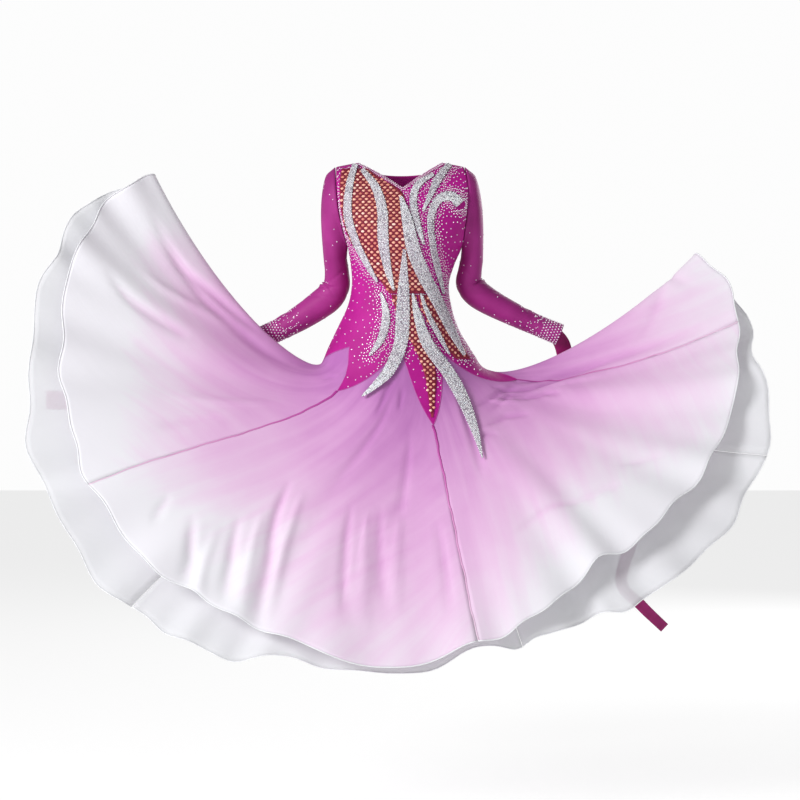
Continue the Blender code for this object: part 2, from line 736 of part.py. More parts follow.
def find(x, z):
    """The direction and drop of the cloth's point that shows at x, z from the front."""
    turn = math.degrees(math.asin(min(max((x - torso_size("centre", z)) / torso_size("half", z),
                                          -0.95), 0.95)))
    drop = HIP_LINE - z
    for _ in range(12):
        here = cloth(turn, drop)
        miss = np.array((x - here[0], z - here[2]))
        by_turn = (cloth(turn + 0.3, drop) - here) / 0.3
        by_drop = (cloth(turn, drop + 0.002) - here) / 0.002
        slope = np.array(((by_turn[0], by_drop[0]), (by_turn[2], by_drop[2])))
        step = np.linalg.solve(slope, miss)
        turn += float(np.clip(step[0], -15.0, 15.0))
        drop += float(np.clip(step[1], -0.1, 0.1))
    return turn, drop


def nets():
    """Pieces of coarse net laid on the velvet, their edges under the stoned bands."""
    for name, rows in NETS.items():
        down = round((rows[0][0] - rows[-1][0]) / NET_FACET)
        across = max(round(max(row[2] - row[1] for row in rows) / NET_FACET), 2)
        grid = []
        for i in range(down + 1):
            z, left, right = line_table(rows, i / down)
            row = []
            for k in range(across + 1):
                turn, drop = find(left + (right - left) * k / across, z)
                row.append(cloth(turn, drop, BODICE_WALL + 1.25 * LAID_GAP))
            grid.append(row)
        panel(name, grid, NET_WALL, "net")


def band_grid(rows, lift, stations):
    """A tapering strip laid on the front of the dress along its middle line."""
    widest = max(row[2] for row in rows)
    sides = (-0.5, 0.5) if widest < NARROW_BAND else (-0.5, 0.0, 0.5)
    grid = []
    for i in range(stations):
        share = i / (stations - 1)
        x, z, width = line_table(rows, share)
        ahead = line_table(rows, min(share + 0.02, 1.0)) - line_table(rows, max(share - 0.02, 0.0))
        across = np.array((-ahead[1], ahead[0])) / math.hypot(ahead[0], ahead[1])
        row = []
        for side in sides:
            turn, drop = find(x + across[0] * width * side, z + across[1] * width * side)
            row.append(cloth(turn, drop, lift(drop)))
        grid.append(row)
    return grid


def bands():
    """Strips thick with stones, sewn along the bodice; two end in free tails."""
    for name, rows in BANDS.items():
        def lift(drop, free=name in TAILS, laid=BODICE_WALL + BAND_OVER[name]):
            return laid + (TAIL_LIFT * smooth(drop, -0.05, 0.06) if free else 0.0)

        grid = band_grid(rows, lift, BAND_STATIONS)
        panel(name, grid, BAND_WALL, "stones")


def floats():
    """A ribbon from each wrist, over the back of the skirt and beyond its hem."""
    for name, plan in FLOATS.items():
        behind = (0.0, 1.0, 0.0)
        route = [point + behind for point in plan["wrist"]]
        for turn, share in plan["over"]:
            drop = skirt_length(turn) * share
            point = cloth(turn, drop, SKIRT_WALL + FLOAT_LIFT)
            route.append(tuple(point) + tuple(outward(turn, drop)))
        route += [point + behind for point in plan["end"]]
        rows = [point + (width,) for point, width in zip(route, plan["width"])]
        grid = []
        for i in range(FLOAT_STATIONS):
            share = i / (FLOAT_STATIONS - 1)
            place = line_table(rows, share)
            ahead = (line_table(rows, min(share + 0.02, 1.0))
                     - line_table(rows, max(share - 0.02, 0.0)))[:3]
            across = np.cross(ahead, place[3:6])
            across /= np.linalg.norm(across)
            grid.append([place[:3] + across * place[6] * side for side in (-0.5, 0.0, 0.5)])
        panel(name, grid, FLOAT_WALL, "float")


for old in list(bpy.data.objects):
    bpy.data.objects.remove(old)
DRESS = bpy.data.collections.new("ballroom_dress")
bpy.context.scene.collection.children.link(DRESS)
bodice()
skirt()
underskirt()
sleeve("sleeve_left", SLEEVES["sleeve_left"], -1)
sleeve("sleeve_right", SLEEVES["sleeve_right"], 1)
nets()
bands()
floats()
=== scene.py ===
import math

import bpy
import numpy as np
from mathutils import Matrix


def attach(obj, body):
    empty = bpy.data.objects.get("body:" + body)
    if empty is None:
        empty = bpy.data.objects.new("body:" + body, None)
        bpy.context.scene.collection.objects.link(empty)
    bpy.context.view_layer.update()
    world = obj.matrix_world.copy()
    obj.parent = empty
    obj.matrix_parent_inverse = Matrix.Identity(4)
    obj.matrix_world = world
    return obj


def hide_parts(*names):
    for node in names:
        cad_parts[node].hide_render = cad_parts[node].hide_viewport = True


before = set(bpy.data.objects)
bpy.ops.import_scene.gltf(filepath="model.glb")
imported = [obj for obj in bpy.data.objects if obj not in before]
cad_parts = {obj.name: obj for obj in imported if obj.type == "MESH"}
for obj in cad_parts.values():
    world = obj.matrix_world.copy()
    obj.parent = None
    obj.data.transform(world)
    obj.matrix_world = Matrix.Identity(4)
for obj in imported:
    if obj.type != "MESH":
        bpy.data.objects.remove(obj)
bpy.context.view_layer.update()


# Bodice of stretch velvet, cut in a front and a back that meet at the shoulders and sides.
# The whole dress is worked on one surface: the torso's sections down to the hips, and from
# there a line for each direction that falls, turns out and sweeps to the hem.
TORSO = {
    "z": (0.000, -0.030, -0.072, -0.120, -0.165, -0.205, -0.245, -0.291,
          -0.341, -0.400, -0.447, -0.475, -0.510),
    "centre": (0.000, 0.003, 0.006, 0.007, 0.009, 0.011, 0.006, 0.001,
               -0.001, -0.005, -0.002, 0.001, 0.001),
    "half": (0.148, 0.150, 0.151, 0.147, 0.140, 0.132, 0.120, 0.112,
             0.119, 0.142, 0.167, 0.181, 0.194),
    "front": (-0.004, 0.042, 0.078, 0.105, 0.124, 0.126, 0.110, 0.094,
              0.097, 0.106, 0.112, 0.115, 0.119),
    "back": (0.004, 0.055, 0.088, 0.104, 0.104, 0.098, 0.091, 0.088,
             0.098, 0.118, 0.131, 0.136, 0.140),
}
SKIRT = np.array((
    # turn, hem x, y, z, fall, sag, early
    (-84.0, -0.583, 0.000, -0.031, 0.050, 0.160, 0.42),
    (-74.0, -0.692, -0.070, -0.118, 0.070, 0.145, 0.42),
    (-64.0, -0.756, -0.150, -0.262, 0.090, 0.110, 0.42),
    (-54.0, -0.766, -0.230, -0.451, 0.115, 0.070, 0.44),
    (-44.0, -0.737, -0.300, -0.620, 0.135, 0.030, 0.45),
    (-35.0, -0.686, -0.350, -0.750, 0.145, 0.010, 0.45),
    (-24.0, -0.557, -0.400, -0.919, 0.155, 0.005, 0.45),
    (-12.0, -0.388, -0.430, -1.018, 0.160, 0.000, 0.45),
    (0.0, -0.185, -0.450, -1.107, 0.160, 0.000, 0.45),
    (7.0, 0.000, -0.460, -1.146, 0.160, 0.000, 0.45),
    (14.0, 0.170, -0.450, -1.092, 0.160, 0.000, 0.45),
    (24.0, 0.305, -0.430, -1.033, 0.155, 0.000, 0.45),
    (34.0, 0.417, -0.400, -0.930, 0.150, 0.005, 0.45),
    (44.0, 0.530, -0.360, -0.873, 0.140, 0.015, 0.45),
    (54.0, 0.646, -0.310, -0.760, 0.125, 0.030, 0.45),
    (64.0, 0.738, -0.240, -0.620, 0.110, 0.050, 0.45),
    (72.0, 0.772, -0.170, -0.495, 0.105, 0.070, 0.45),
    (80.0, 0.781, -0.100, -0.384, 0.100, 0.090, 0.45),
    (88.0, 0.753, -0.030, -0.267, 0.095, 0.100, 0.45),
    (94.0, 0.700, 0.020, -0.227, 0.090, 0.100, 0.45),
    (102.0, 0.705, 0.110, -0.330, 0.090, 0.070, 0.45),
    (112.0, 0.690, 0.230, -0.560, 0.100, 0.040, 0.45),
    (126.0, 0.570, 0.350, -0.850, 0.120, 0.010, 0.45),
    (145.0, 0.370, 0.440, -1.020, 0.140, 0.000, 0.45),
    (165.0, 0.130, 0.480, -1.070, 0.150, 0.000, 0.45),
    (185.0, -0.120, 0.480, -1.070, 0.150, 0.000, 0.45),
    (205.0, -0.360, 0.430, -1.010, 0.140, 0.000, 0.45),
    (226.0, -0.560, 0.350, -0.830, 0.110, 0.010, 0.45),
    (242.0, -0.650, 0.250, -0.530, 0.080, 0.050, 0.45),
    (256.0, -0.625, 0.130, -0.240, 0.060, 0.110, 0.44),
    (266.0, -0.585, 0.050, -0.090, 0.050, 0.150, 0.42),
))
FOLDS = (
    # turn, width, height, start, full
    (-66.0, 5.0, 0.012, 0.20, 0.75), (-57.0, 4.5, -0.010, 0.15, 0.70),
    (-25.0, 4.5, 0.006, 0.45, 0.95), (-8.0, 3.0, -0.007, 0.30, 0.90),
    (-3.0, 2.5, 0.006, 0.35, 0.90), (23.0, 4.0, 0.007, 0.35, 0.95),
    (31.0, 4.0, -0.007, 0.30, 0.95), (47.0, 4.0, 0.008, 0.25, 0.85),
    (64.0, 4.0, -0.008, 0.15, 0.60), (71.0, 3.5, 0.008, 0.15, 0.60),
    (117.0, 6.0, -0.014, 0.15, 0.95), (130.0, 6.5, 0.024, 0.15, 0.95),
    (143.0, 6.5, -0.026, 0.10, 0.95), (155.5, 6.0, 0.030, 0.10, 0.95),
    (168.0, 6.5, -0.026, 0.10, 0.95), (180.0, 6.0, 0.034, 0.10, 0.95),
    (192.0, 6.5, -0.028, 0.10, 0.95), (204.5, 6.0, 0.028, 0.10, 0.95),
    (217.5, 6.5, -0.022, 0.15, 0.95), (230.0, 6.0, 0.020, 0.15, 0.95),
    (242.0, 6.0, -0.012, 0.20, 0.95),
)
HIP_SEAM = np.array((
    # turn, drop below the hip line
    (-90.0, -0.004), (-44.0, -0.034), (-35.0, 0.085), (1.0, -0.034), (14.0, 0.160),
    (34.0, -0.022), (80.0, 0.110), (106.0, -0.030), (130.0, 0.090), (155.0, -0.030),
    (180.0, 0.110), (205.0, -0.030), (230.0, 0.090), (250.0, -0.030), (270.0, -0.004),
))
HIP_LINE, UNDERARM, SHOULDER_DROP, ARMHOLE_DEPTH = -0.475, -0.205, 0.018, 0.052
NECK_HALF, V_DEPTH, SCOOP_DEPTH = 0.099, 0.073, 0.034
VELVET_WALL, ORGANZA_WALL, SHELL, SEAM_GAP = 0.002, 0.0015, 0.0008, 0.0003


def smooth(value, low, high):
    """0 below low, 1 above high, and a soft step between."""
    share = np.clip((value - low) / (high - low), 0.0, 1.0)
    return share * share * (3.0 - 2.0 * share)


def torso_size(column, z):
    """One size of the torso at many heights."""
    heights, sizes = np.array(TORSO["z"]), np.array(TORSO[column])
    z = np.clip(z, heights[-1], heights[0])
    last = len(heights) - 2
    i = np.clip(np.searchsorted(-heights, -z, side="right") - 1, 0, last)
    spans = np.diff(heights)
    slopes = np.diff(sizes) / spans
    slope_in = np.where(i == 0, slopes[0], (slopes[i - 1] + slopes[i]) / 2)
    next_slope = slopes[np.minimum(i + 1, last)]
    slope_out = np.where(i == last, slopes[-1], (slopes[i] + next_slope) / 2)
    u = (z - heights[i]) / spans[i]
    return ((2 * u ** 3 - 3 * u ** 2 + 1) * sizes[i]
            + (u ** 3 - 2 * u ** 2 + u) * spans[i] * slope_in
            + (3 * u ** 2 - 2 * u ** 3) * sizes[i + 1] + (u ** 3 - u ** 2) * spans[i] * slope_out)


def torso(turn, z):
    """Points of the body of the dress in given directions, at given heights."""
    angle = np.radians(turn)
    rise = np.clip((z - UNDERARM) / -UNDERARM, 0.0, 1.0)
    reach = ARMHOLE_DEPTH * 2.0 * np.sqrt(rise * (1.0 - rise))
    x = torso_size("centre", z) + torso_size("half", z) * np.sin(angle)
    ahead = np.cos(angle)
    y = np.where(ahead >= 0.0, -(reach + (torso_size("front", z) - reach) * ahead),
                 reach - (torso_size("back", z) - reach) * ahead)
    return np.stack((x, y, z - SHOULDER_DROP * rise ** 2 * np.sin(angle) ** 2), axis=-1)


def round_table(rows, turn):
    """Smooth values of a table of directions that closes on itself."""
    turns, values, count = rows[:, 0], rows[:, 1:], len(rows)
    turn = (turn - turns[0]) % 360.0 + turns[0]
    index = np.searchsorted(turns, turn, side="right") - 1

    def knot(i):
        lap, place = np.divmod(i, count)
        return (turns[place] + 360.0 * lap)[:, None], values[place]

    (t0, p0), (t1, p1), (t2, p2), (t3, p3) = (knot(index + step) for step in (-1, 0, 1, 2))
    span = t2 - t1
    slope_in = ((p2 - p1) / span + (p1 - p0) / (t1 - t0)) / 2.0
    slope_out = ((p3 - p2) / (t3 - t2) + (p2 - p1) / span) / 2.0
    u = (turn[:, None] - t1) / span
    return ((2 * u ** 3 - 3 * u ** 2 + 1) * p1 + (u ** 3 - 2 * u ** 2 + u) * span * slope_in
            + (3 * u ** 2 - 2 * u ** 3) * p2 + (u ** 3 - u ** 2) * span * slope_out)


def curve_at(knots, t):
    """Points of Bezier lines at given steps."""
    top, first, second, hem = knots
    t = t[..., None]
    return ((1 - t) ** 3 * top + 3 * (1 - t) ** 2 * t * first
            + 3 * (1 - t) * t ** 2 * second + t ** 3 * hem)


def skirt_lines(turn):
    """The skirt's lines in given directions: Bezier knots, steps and lengths."""
    values = round_table(SKIRT, turn)
    hem, fall, sag, early = values[:, :3], values[:, 3:4], values[:, 4], values[:, 5:6]
    level = np.full(len(turn), HIP_LINE)
    top = torso(turn, level)
    slope = top - torso(turn, level + 0.02)
    slope /= np.linalg.norm(slope, axis=1)[:, None]
    second = hem + early * (top - hem)
    second[:, 2] -= sag
    knots = (top, top + fall * slope, second, hem)
    steps = np.linspace(0.0, 1.3, 53)
    wide = tuple(knot[:, None, :] for knot in knots)
    points = curve_at(wide, np.broadcast_to(steps, (len(turn), len(steps))))
    lengths = np.cumsum(np.linalg.norm(np.diff(points, axis=1), axis=2), axis=1)
    return knots, steps, np.concatenate((np.zeros((len(turn), 1)), lengths), axis=1)


AROUND = np.arange(-90.0, 270.5, 0.5)
_, line_steps, line_lengths = skirt_lines(AROUND)
HEM_LENGTHS = np.array([np.interp(1.0, line_steps, row) for row in line_lengths])


def skirt_length(turn):
    """Length of the skirt from the hip line to the hem in given directions."""
    turn = np.atleast_1d(np.asarray(turn, dtype=float))
    return np.interp((turn + 90.0) % 360.0 - 90.0, AROUND, HEM_LENGTHS)


def base(turn, drop):
    """The dress without its folds, at drops below the hip line along the cloth."""
    turn, drop = np.asarray(turn, dtype=float), np.asarray(drop, dtype=float)
    points = torso(turn, HIP_LINE - np.minimum(drop, 0.0))
    low = np.nonzero(drop > 0.0)[0]
    if len(low):
        knots, steps, lengths = skirt_lines(turn[low])
        here = drop[low][:, None]
        i = np.clip((lengths <= here).sum(axis=1) - 1, 0, len(steps) - 2)
        row = np.arange(len(low))
        before, after = lengths[row, i], lengths[row, i + 1]
        share = (drop[low] - before) / (after - before)
        points[low] = curve_at(knots, steps[i] + share * (steps[1] - steps[0]))
    return points


def outward(turn, drop):
    """Directions out of the cloth."""
    across = base(turn + 0.4, drop) - base(turn - 0.4, drop)
    down = base(turn, drop + 0.002) - base(turn, drop - 0.002)
    normal = np.cross(down, across)
    return normal / np.linalg.norm(normal, axis=1)[:, None]


def fold_height(turn, share):
    """How far the large folds lift the skirt."""
    height = np.zeros(len(turn))
    for middle, width, rise, start, full in FOLDS:
        away = np.abs((turn - middle + 180.0) % 360.0 - 180.0) / width
        swell = np.cos(np.minimum(away, 2.0) * math.pi / 4) ** 2
        height += np.where(away < 2.0, rise * swell, 0.0) * smooth(share, start, full)
    return height


def cloth(turn, drop, lift=0.0):
    """Points of the dress's outer cloth, moved out by lift."""
    turn, drop = (np.atleast_1d(np.asarray(v, dtype=float)) for v in (turn, drop))
    points = base(turn, drop)
    height = np.broadcast_to(lift, turn.shape).astype(float)
    low = drop > 0.0
    if low.any():
        height[low] += fold_height(turn[low], drop[low] / skirt_length(turn[low]))
    moved = np.nonzero(height)[0]
    if len(moved):
        points[moved] += height[moved, None] * outward(turn[moved], drop[moved])
    return points


def placed(name, mesh):
    """A mesh as an object of the scene."""
    piece = bpy.data.objects.new(name, mesh)
    bpy.context.scene.collection.objects.link(piece)
    return piece


def sheet_mesh(name, grid, wall, materials, values=None, closed=False):
    """A cloth piece: a grid of points made a shell, with UV in metres and named values."""
    rows, across = grid.shape[:2]
    loop = across if closed else across - 1
    faces = [(r * across + i, (r + 1) * across + i,
              (r + 1) * across + (i + 1) % across, r * across + (i + 1) % across)
             for r in range(rows - 1) for i in range(loop)]
    mesh = bpy.data.meshes.new(name)
    mesh.from_pydata(grid.reshape(-1, 3).tolist(), [], faces)
    down = np.concatenate((np.zeros((1, across)),
                           np.cumsum(np.linalg.norm(np.diff(grid, axis=0), axis=2), axis=0)))
    steps = np.linalg.norm(np.diff(grid, axis=1), axis=2)
    side = np.concatenate((np.zeros((rows, 1)), np.cumsum(steps, axis=1)), axis=1)
    flat = np.stack((side, -down), axis=-1).reshape(-1, 2)
    corners = np.empty(len(mesh.loops), dtype=np.int32)
    mesh.loops.foreach_get("vertex_index", corners)
    mesh.uv_layers.new(name="cloth").data.foreach_set("uv", flat[corners].ravel())
    for label, numbers in (values or {}).items():
        layer = mesh.attributes.new(label, "FLOAT", "POINT")
        layer.data.foreach_set("value", np.asarray(numbers, dtype=np.float32).ravel())
    for finish in materials:
        mesh.materials.append(finish)
    mesh.shade_smooth()
    piece = placed(name, mesh)
    solid = piece.modifiers.new("wall", "SOLIDIFY")
    solid.thickness = wall
    solid.offset = -1.0
    bpy.ops.object.select_all(action="DESELECT")
    bpy.context.view_layer.objects.active = piece
    piece.select_set(True)
    bpy.ops.object.modifier_apply(modifier="wall")
    return piece


def crease_height(points, creases):
    """Depth of listed creases at cloth points: soft troughs and ridges that taper."""
    height = np.zeros(len(points))
    for line, width, depth in creases:
        line = np.array(line, dtype=float)
        place = np.linspace(0.0, len(line) - 1.0, 11)
        turn = np.interp(place, np.arange(len(line)), line[:, 0])
        share = np.interp(place, np.arange(len(line)), line[:, 1])
        way = base(turn, share * skirt_length(turn))
        low, high = way.min(axis=0) - 3 * width, way.max(axis=0) + 3 * width
        close = np.nonzero(((points > low) & (points < high)).all(axis=1))[0]
        if not len(close):
            continue
        here = points[close]
        best = np.full(len(close), 9.0)
        along = np.zeros(len(close))
        for k in range(len(way) - 1):
            step = way[k + 1] - way[k]
            t = np.clip((here - way[k]) @ step / (step @ step), 0.0, 1.0)
            miss = np.linalg.norm(here - way[k] - t[:, None] * step, axis=1)
            nearer = miss < best
            best = np.where(nearer, miss, best)
            along = np.where(nearer, (k + t) / (len(way) - 1), along)
        reach = best / (width * (0.65 + 0.7 * along))
        taper = np.sin(math.pi * np.clip(along, 0.02, 0.98)) ** 0.6
        height[close] += depth * np.exp(-reach ** 2) * taper
    return height


def nodes_of(finish):
    """The node tree of a new finish and its shader."""
    finish.use_nodes = True
    return finish.node_tree, finish.node_tree.nodes["Principled BSDF"]


def fill(node, values):
    """Set a node's inputs by name."""
    for name, value in values.items():
        node.inputs[name].default_value = value


def place_of(tree):
    """The object's own coordinates."""
    return tree.nodes.new("ShaderNodeTexCoord").outputs["Object"]


def along_cloth(tree, scale):
    """The cloth's coordinates in metres, scaled across and down."""
    grain = tree.nodes.new("ShaderNodeUVMap")
    grain.uv_map = "cloth"
    stretch = tree.nodes.new("ShaderNodeMapping")
    stretch.inputs["Scale"].default_value = scale
    tree.links.new(grain.outputs["UV"], stretch.inputs["Vector"])
    return stretch.outputs["Vector"]


def named_value(tree, name):
    """A value that the mesh carries at its points."""
    reader = tree.nodes.new("ShaderNodeAttribute")
    reader.attribute_name = name
    return reader.outputs["Fac"]


def noise_at(tree, place, scale, detail=2.0):
    """Noise read at a place."""
    noise = tree.nodes.new("ShaderNodeTexNoise")
    fill(noise, {"Scale": scale, "Detail": detail})
    tree.links.new(place, noise.inputs["Vector"])
    return noise.outputs["Fac"]


def sum_of(tree, operation, *terms):
    """A sum or product of outputs and plain numbers."""
    node = tree.nodes.new("ShaderNodeMath")
    node.operation = operation
    for socket, term in zip(node.inputs, terms):
        if isinstance(term, float):
            socket.default_value = term
        else:
            tree.links.new(term, socket)
    return node.outputs["Value"]


def colour_by(tree, shader, value, stops):
    """Colour a shader by a value, through stops of position and colour."""
    ramp = tree.nodes.new("ShaderNodeValToRGB")
    for _ in range(len(stops) - 2):
        ramp.color_ramp.elements.new(0.5)
    for element, (position, colour) in zip(ramp.color_ramp.elements, stops):
        element.position = position
        element.color = colour + (1.0,)
    tree.links.new(value, ramp.inputs["Fac"])
    tree.links.new(ramp.outputs["Color"], shader.inputs["Base Color"])
    return ramp.color_ramp


def raise_by(tree, shader, height, strength, distance):
    """Raise a shader's surface a little by a value."""
    bump = tree.nodes.new("ShaderNodeBump")
    fill(bump, {"Strength": strength, "Distance": distance})
    tree.links.new(height, bump.inputs["Height"])
    tree.links.new(bump.outputs["Normal"], shader.inputs["Normal"])


def velvet_finish():
    """Stretch velvet: a short nap whose colour shifts a little, with a soft bright edge."""
    finish = bpy.data.materials.new("velvet")
    tree, shader = nodes_of(finish)
    place = place_of(tree)
    colour_by(tree, shader, noise_at(tree, place, 14.0, 6.0),
              ((0.3, (0.37, 0.003, 0.205)), (0.7, (0.49, 0.007, 0.285))))
    raise_by(tree, shader, noise_at(tree, place, 900.0), 0.25, 0.0006)
    fill(shader, {"Roughness": 0.62, "Sheen Weight": 0.10, "Sheen Roughness": 0.4,
                  "Sheen Tint": (1.0, 0.45, 0.85, 1.0), "Specular IOR Level": 0.25})
    return finish


velvet = velvet_finish()
for node, start, end, depth, count, wide, long, area in (
        ("bodice_front", -90.0, 90.0, V_DEPTH, 96, 0.50, 0.66, 0.19),
        ("bodice_back", 90.01, 269.99, SCOOP_DEPTH, 80, 0.46, 0.62, 0.16)):
    neck_turn = math.degrees(math.asin(NECK_HALF / TORSO["half"][0]))
    middle = 0.0 if end == 90.0 else 180.0
    turns = np.unique(np.concatenate((np.linspace(start + 0.05, end - 0.05, count), [
        t for t in list(HIP_SEAM[:, 0]) + [middle - neck_turn, middle + neck_turn]
        if start + 0.1 < t < end - 0.1])))
    x = np.abs(np.sin(np.radians(turns))) * TORSO["half"][0]
    dip = depth * (1.0 - x / NECK_HALF) if node == "bodice_front" \
        else depth * np.sqrt(np.clip(1.0 - (x / NECK_HALF) ** 2, 0.0, 1.0))
    top = np.where(x >= NECK_HALF, -SEAM_GAP, -dip)
    low = HIP_LINE - (np.interp(turns, HIP_SEAM[:, 0], HIP_SEAM[:, 1]) - SEAM_GAP)
    stops = (top, np.full(len(turns), -0.130), np.full(len(turns), -0.405), low)
    levels = [stops[k] + (stops[k + 1] - stops[k]) * i / parts
              for k, parts in enumerate((26, 58, 44)) for i in range(parts)] + [low]
    grid = cloth(np.tile(turns, len(levels)), HIP_LINE - np.concatenate(levels), VELVET_WALL)
    grid = grid.reshape(len(levels), len(turns), 3)
    piece = sheet_mesh(node + "_velvet", grid, SHELL, [velvet])
    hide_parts(node)
    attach(piece, "root")


# Outer skirt: seven gores of crisp organza, dyed from orchid at the hips to white at the
# hem. Each gore's pointed top is let into the bodice, and its hem is rolled over a thread.
GORES = (
    # name, from, to, columns, and the cut's hem width, length and area
    ("skirt_side_left", -90.0, -35.0, 84, 0.95, 0.75, 0.31),
    ("skirt_front_left", -35.0, 14.0, 90, 1.04, 0.80, 0.39),
    ("skirt_front_right", 14.0, 80.0, 110, 1.11, 0.75, 0.35),
    ("skirt_side_right", 80.0, 130.0, 72, 1.07, 0.70, 0.30),
    ("skirt_back_right", 130.0, 180.0, 60, 0.74, 0.74, 0.27),
    ("skirt_back_left", 180.0, 230.0, 60, 0.75, 0.74, 0.27),
    ("skirt_rear_left", 230.0, 270.0, 48, 0.82, 0.65, 0.21),
)
DYE_REACH = np.array((
    # turn, share of the way down where the dye has faded out
    (-90.0, 0.86), (-76.0, 0.84), (-64.0, 0.76), (-50.0, 0.80), (-38.0, 0.90), (-26.0, 0.86),
    (-14.0, 0.88), (-2.0, 1.10), (8.0, 1.25), (18.0, 1.20), (28.0, 1.00), (42.0, 0.84),
    (56.0, 0.88), (68.0, 1.04), (82.0, 1.14), (96.0, 1.12), (130.0, 0.92), (180.0, 0.98),
    (230.0, 0.90), (270.0, 0.86),
))
CREASES = (
    # (turn, share) along the line, half width, depth
    (((-66.8, 0.87), (-65.2, 0.76), (-64.9, 0.62), (-64.9, 0.52)), 0.012, -0.007),
    (((-78.7, 0.73), (-78.5, 0.63), (-80.4, 0.42), (-81.4, 0.27)), 0.011, -0.007),
    (((-79.6, 0.86), (-78.2, 0.69), (-77.1, 0.51), (-76.8, 0.32), (-73.8, 0.14)), 0.013, -0.006),
    (((-71.5, 0.76), (-72.0, 0.65), (-74.2, 0.51), (-77.2, 0.35)), 0.013, 0.005),
    (((-42.5, 0.50), (-41.8, 0.72)), 0.012, -0.004),
    (((-29.3, 0.80), (-27.4, 0.90)), 0.007, -0.005),
    (((-24.5, 0.80), (-19.9, 0.91), (-18.1, 0.99)), 0.013, -0.008),
    (((-20.5, 0.78), (-16.8, 0.95), (-15.5, 1.00)), 0.011, 0.006),
    (((-19.3, 0.71), (-15.0, 0.85), (-12.0, 0.99)), 0.012, -0.008),
    (((-16.6, 0.66), (-12.8, 0.82), (-9.4, 0.99)), 0.011, 0.006),
    (((-17.6, 0.52), (-14.0, 0.66), (-10.3, 0.79), (-7.4, 0.97)), 0.012, -0.010),
    (((-13.2, 0.54), (-10.6, 0.67), (-7.6, 0.85), (-6.0, 0.99)), 0.011, 0.007),
    (((-2.5, 0.52), (0.0, 0.70), (1.9, 0.88)), 0.009, -0.007),
    (((0.8, 0.53), (2.5, 0.71), (3.7, 0.90)), 0.009, 0.006),
    (((2.5, 0.50), (4.0, 0.67), (5.0, 0.80)), 0.009, -0.006),
    (((5.4, 0.50), (5.8, 0.66), (6.4, 0.84)), 0.010, 0.005),
    (((11.5, 0.56), (11.8, 0.73), (11.6, 0.88)), 0.009, -0.005),
    (((-52.6, 0.09), (-43.9, 0.02)), 0.006, -0.003),
    (((-55.5, 0.05), (-35.7, 0.05)), 0.006, 0.003),
    (((-20.5, 0.10), (-7.4, 0.04)), 0.006, -0.003),
    (((-19.0, 0.06), (-4.0, 0.05)), 0.005, 0.003),
    (((-8.9, 0.18), (-7.9, 0.10), (-5.7, 0.06)), 0.007, -0.004),
    (((0.8, 0.16), (0.9, 0.08)), 0.006, -0.003),
    (((37.7, 0.20), (59.1, 0.17), (73.6, 0.18)), 0.007, -0.006),
    (((44.8, 0.23), (60.8, 0.20), (68.3, 0.25)), 0.007, -0.006),
    (((56.0, 0.20), (69.2, 0.30), (70.4, 0.36)), 0.008, -0.006),
    (((36.0, 0.29), (47.7, 0.28), (56.4, 0.32)), 0.007, -0.006),
    (((60.0, 0.14), (71.6, 0.24), (80.4, 0.32), (83.0, 0.47)), 0.009, -0.008),
    (((76.7, 0.17), (83.0, 0.32), (83.0, 0.55), (81.6, 0.86)), 0.009, -0.007),
    (((72.0, 0.24), (77.5, 0.36), (79.0, 0.50)), 0.009, 0.005),
    (((48.1, 0.18), (54.5, 0.22), (60.5, 0.25)), 0.007, 0.005),
    (((30.0, 0.32), (38.4, 0.34)), 0.007, -0.004),
    (((27.2, 0.71), (36.3, 0.72), (46.2, 0.76), (49.7, 0.79)), 0.010, -0.005),
    (((53.0, 0.74), (57.8, 0.84)), 0.009, -0.004),
    (((100.0, 0.86), (90.0, 0.88)), 0.010, -0.004),
    (((85.2, 0.62), (95.2, 0.86)), 0.011, -0.004),
    (((32.0, 0.14), (28.8, 0.28), (25.3, 0.45)), 0.009, -0.005),
    (((5.9, 0.24), (5.6, 0.46), (4.9, 0.54)), 0.010, -0.004),
    (((-4.0, 0.12), (-7.0, 0.30), (-9.0, 0.46)), 0.010, -0.004),
    (((-46.0, 0.30), (-47.5, 0.48), (-49.0, 0.62)), 0.013, 0.004),
    (((112.0, 0.25), (116.0, 0.52), (119.0, 0.80)), 0.014, -0.007),
    (((124.0, 0.30), (125.0, 0.60), (126.0, 0.95)), 0.013, 0.006),
    (((137.0, 0.12), (139.0, 0.36)), 0.009, -0.006),
    (((150.0, 0.40), (148.0, 0.70), (149.5, 0.97)), 0.012, -0.007),
    (((161.0, 0.12), (163.0, 0.30), (162.0, 0.48)), 0.010, 0.006),
    (((173.0, 0.55), (174.0, 0.78), (172.5, 0.98)), 0.013, -0.007),
    (((186.0, 0.15), (187.5, 0.42), (186.0, 0.60)), 0.011, -0.006),
    (((198.0, 0.50), (199.0, 0.72), (197.0, 0.97)), 0.013, 0.007),
    (((210.0, 0.14), (212.0, 0.40), (213.0, 0.70)), 0.011, -0.007),
    (((224.0, 0.35), (222.0, 0.62), (223.5, 0.92)), 0.013, 0.006),
    (((238.0, 0.20), (236.0, 0.45), (237.0, 0.80)), 0.012, -0.006),
    (((252.0, 0.18), (250.0, 0.45), (249.0, 0.75)), 0.012, -0.006),
)


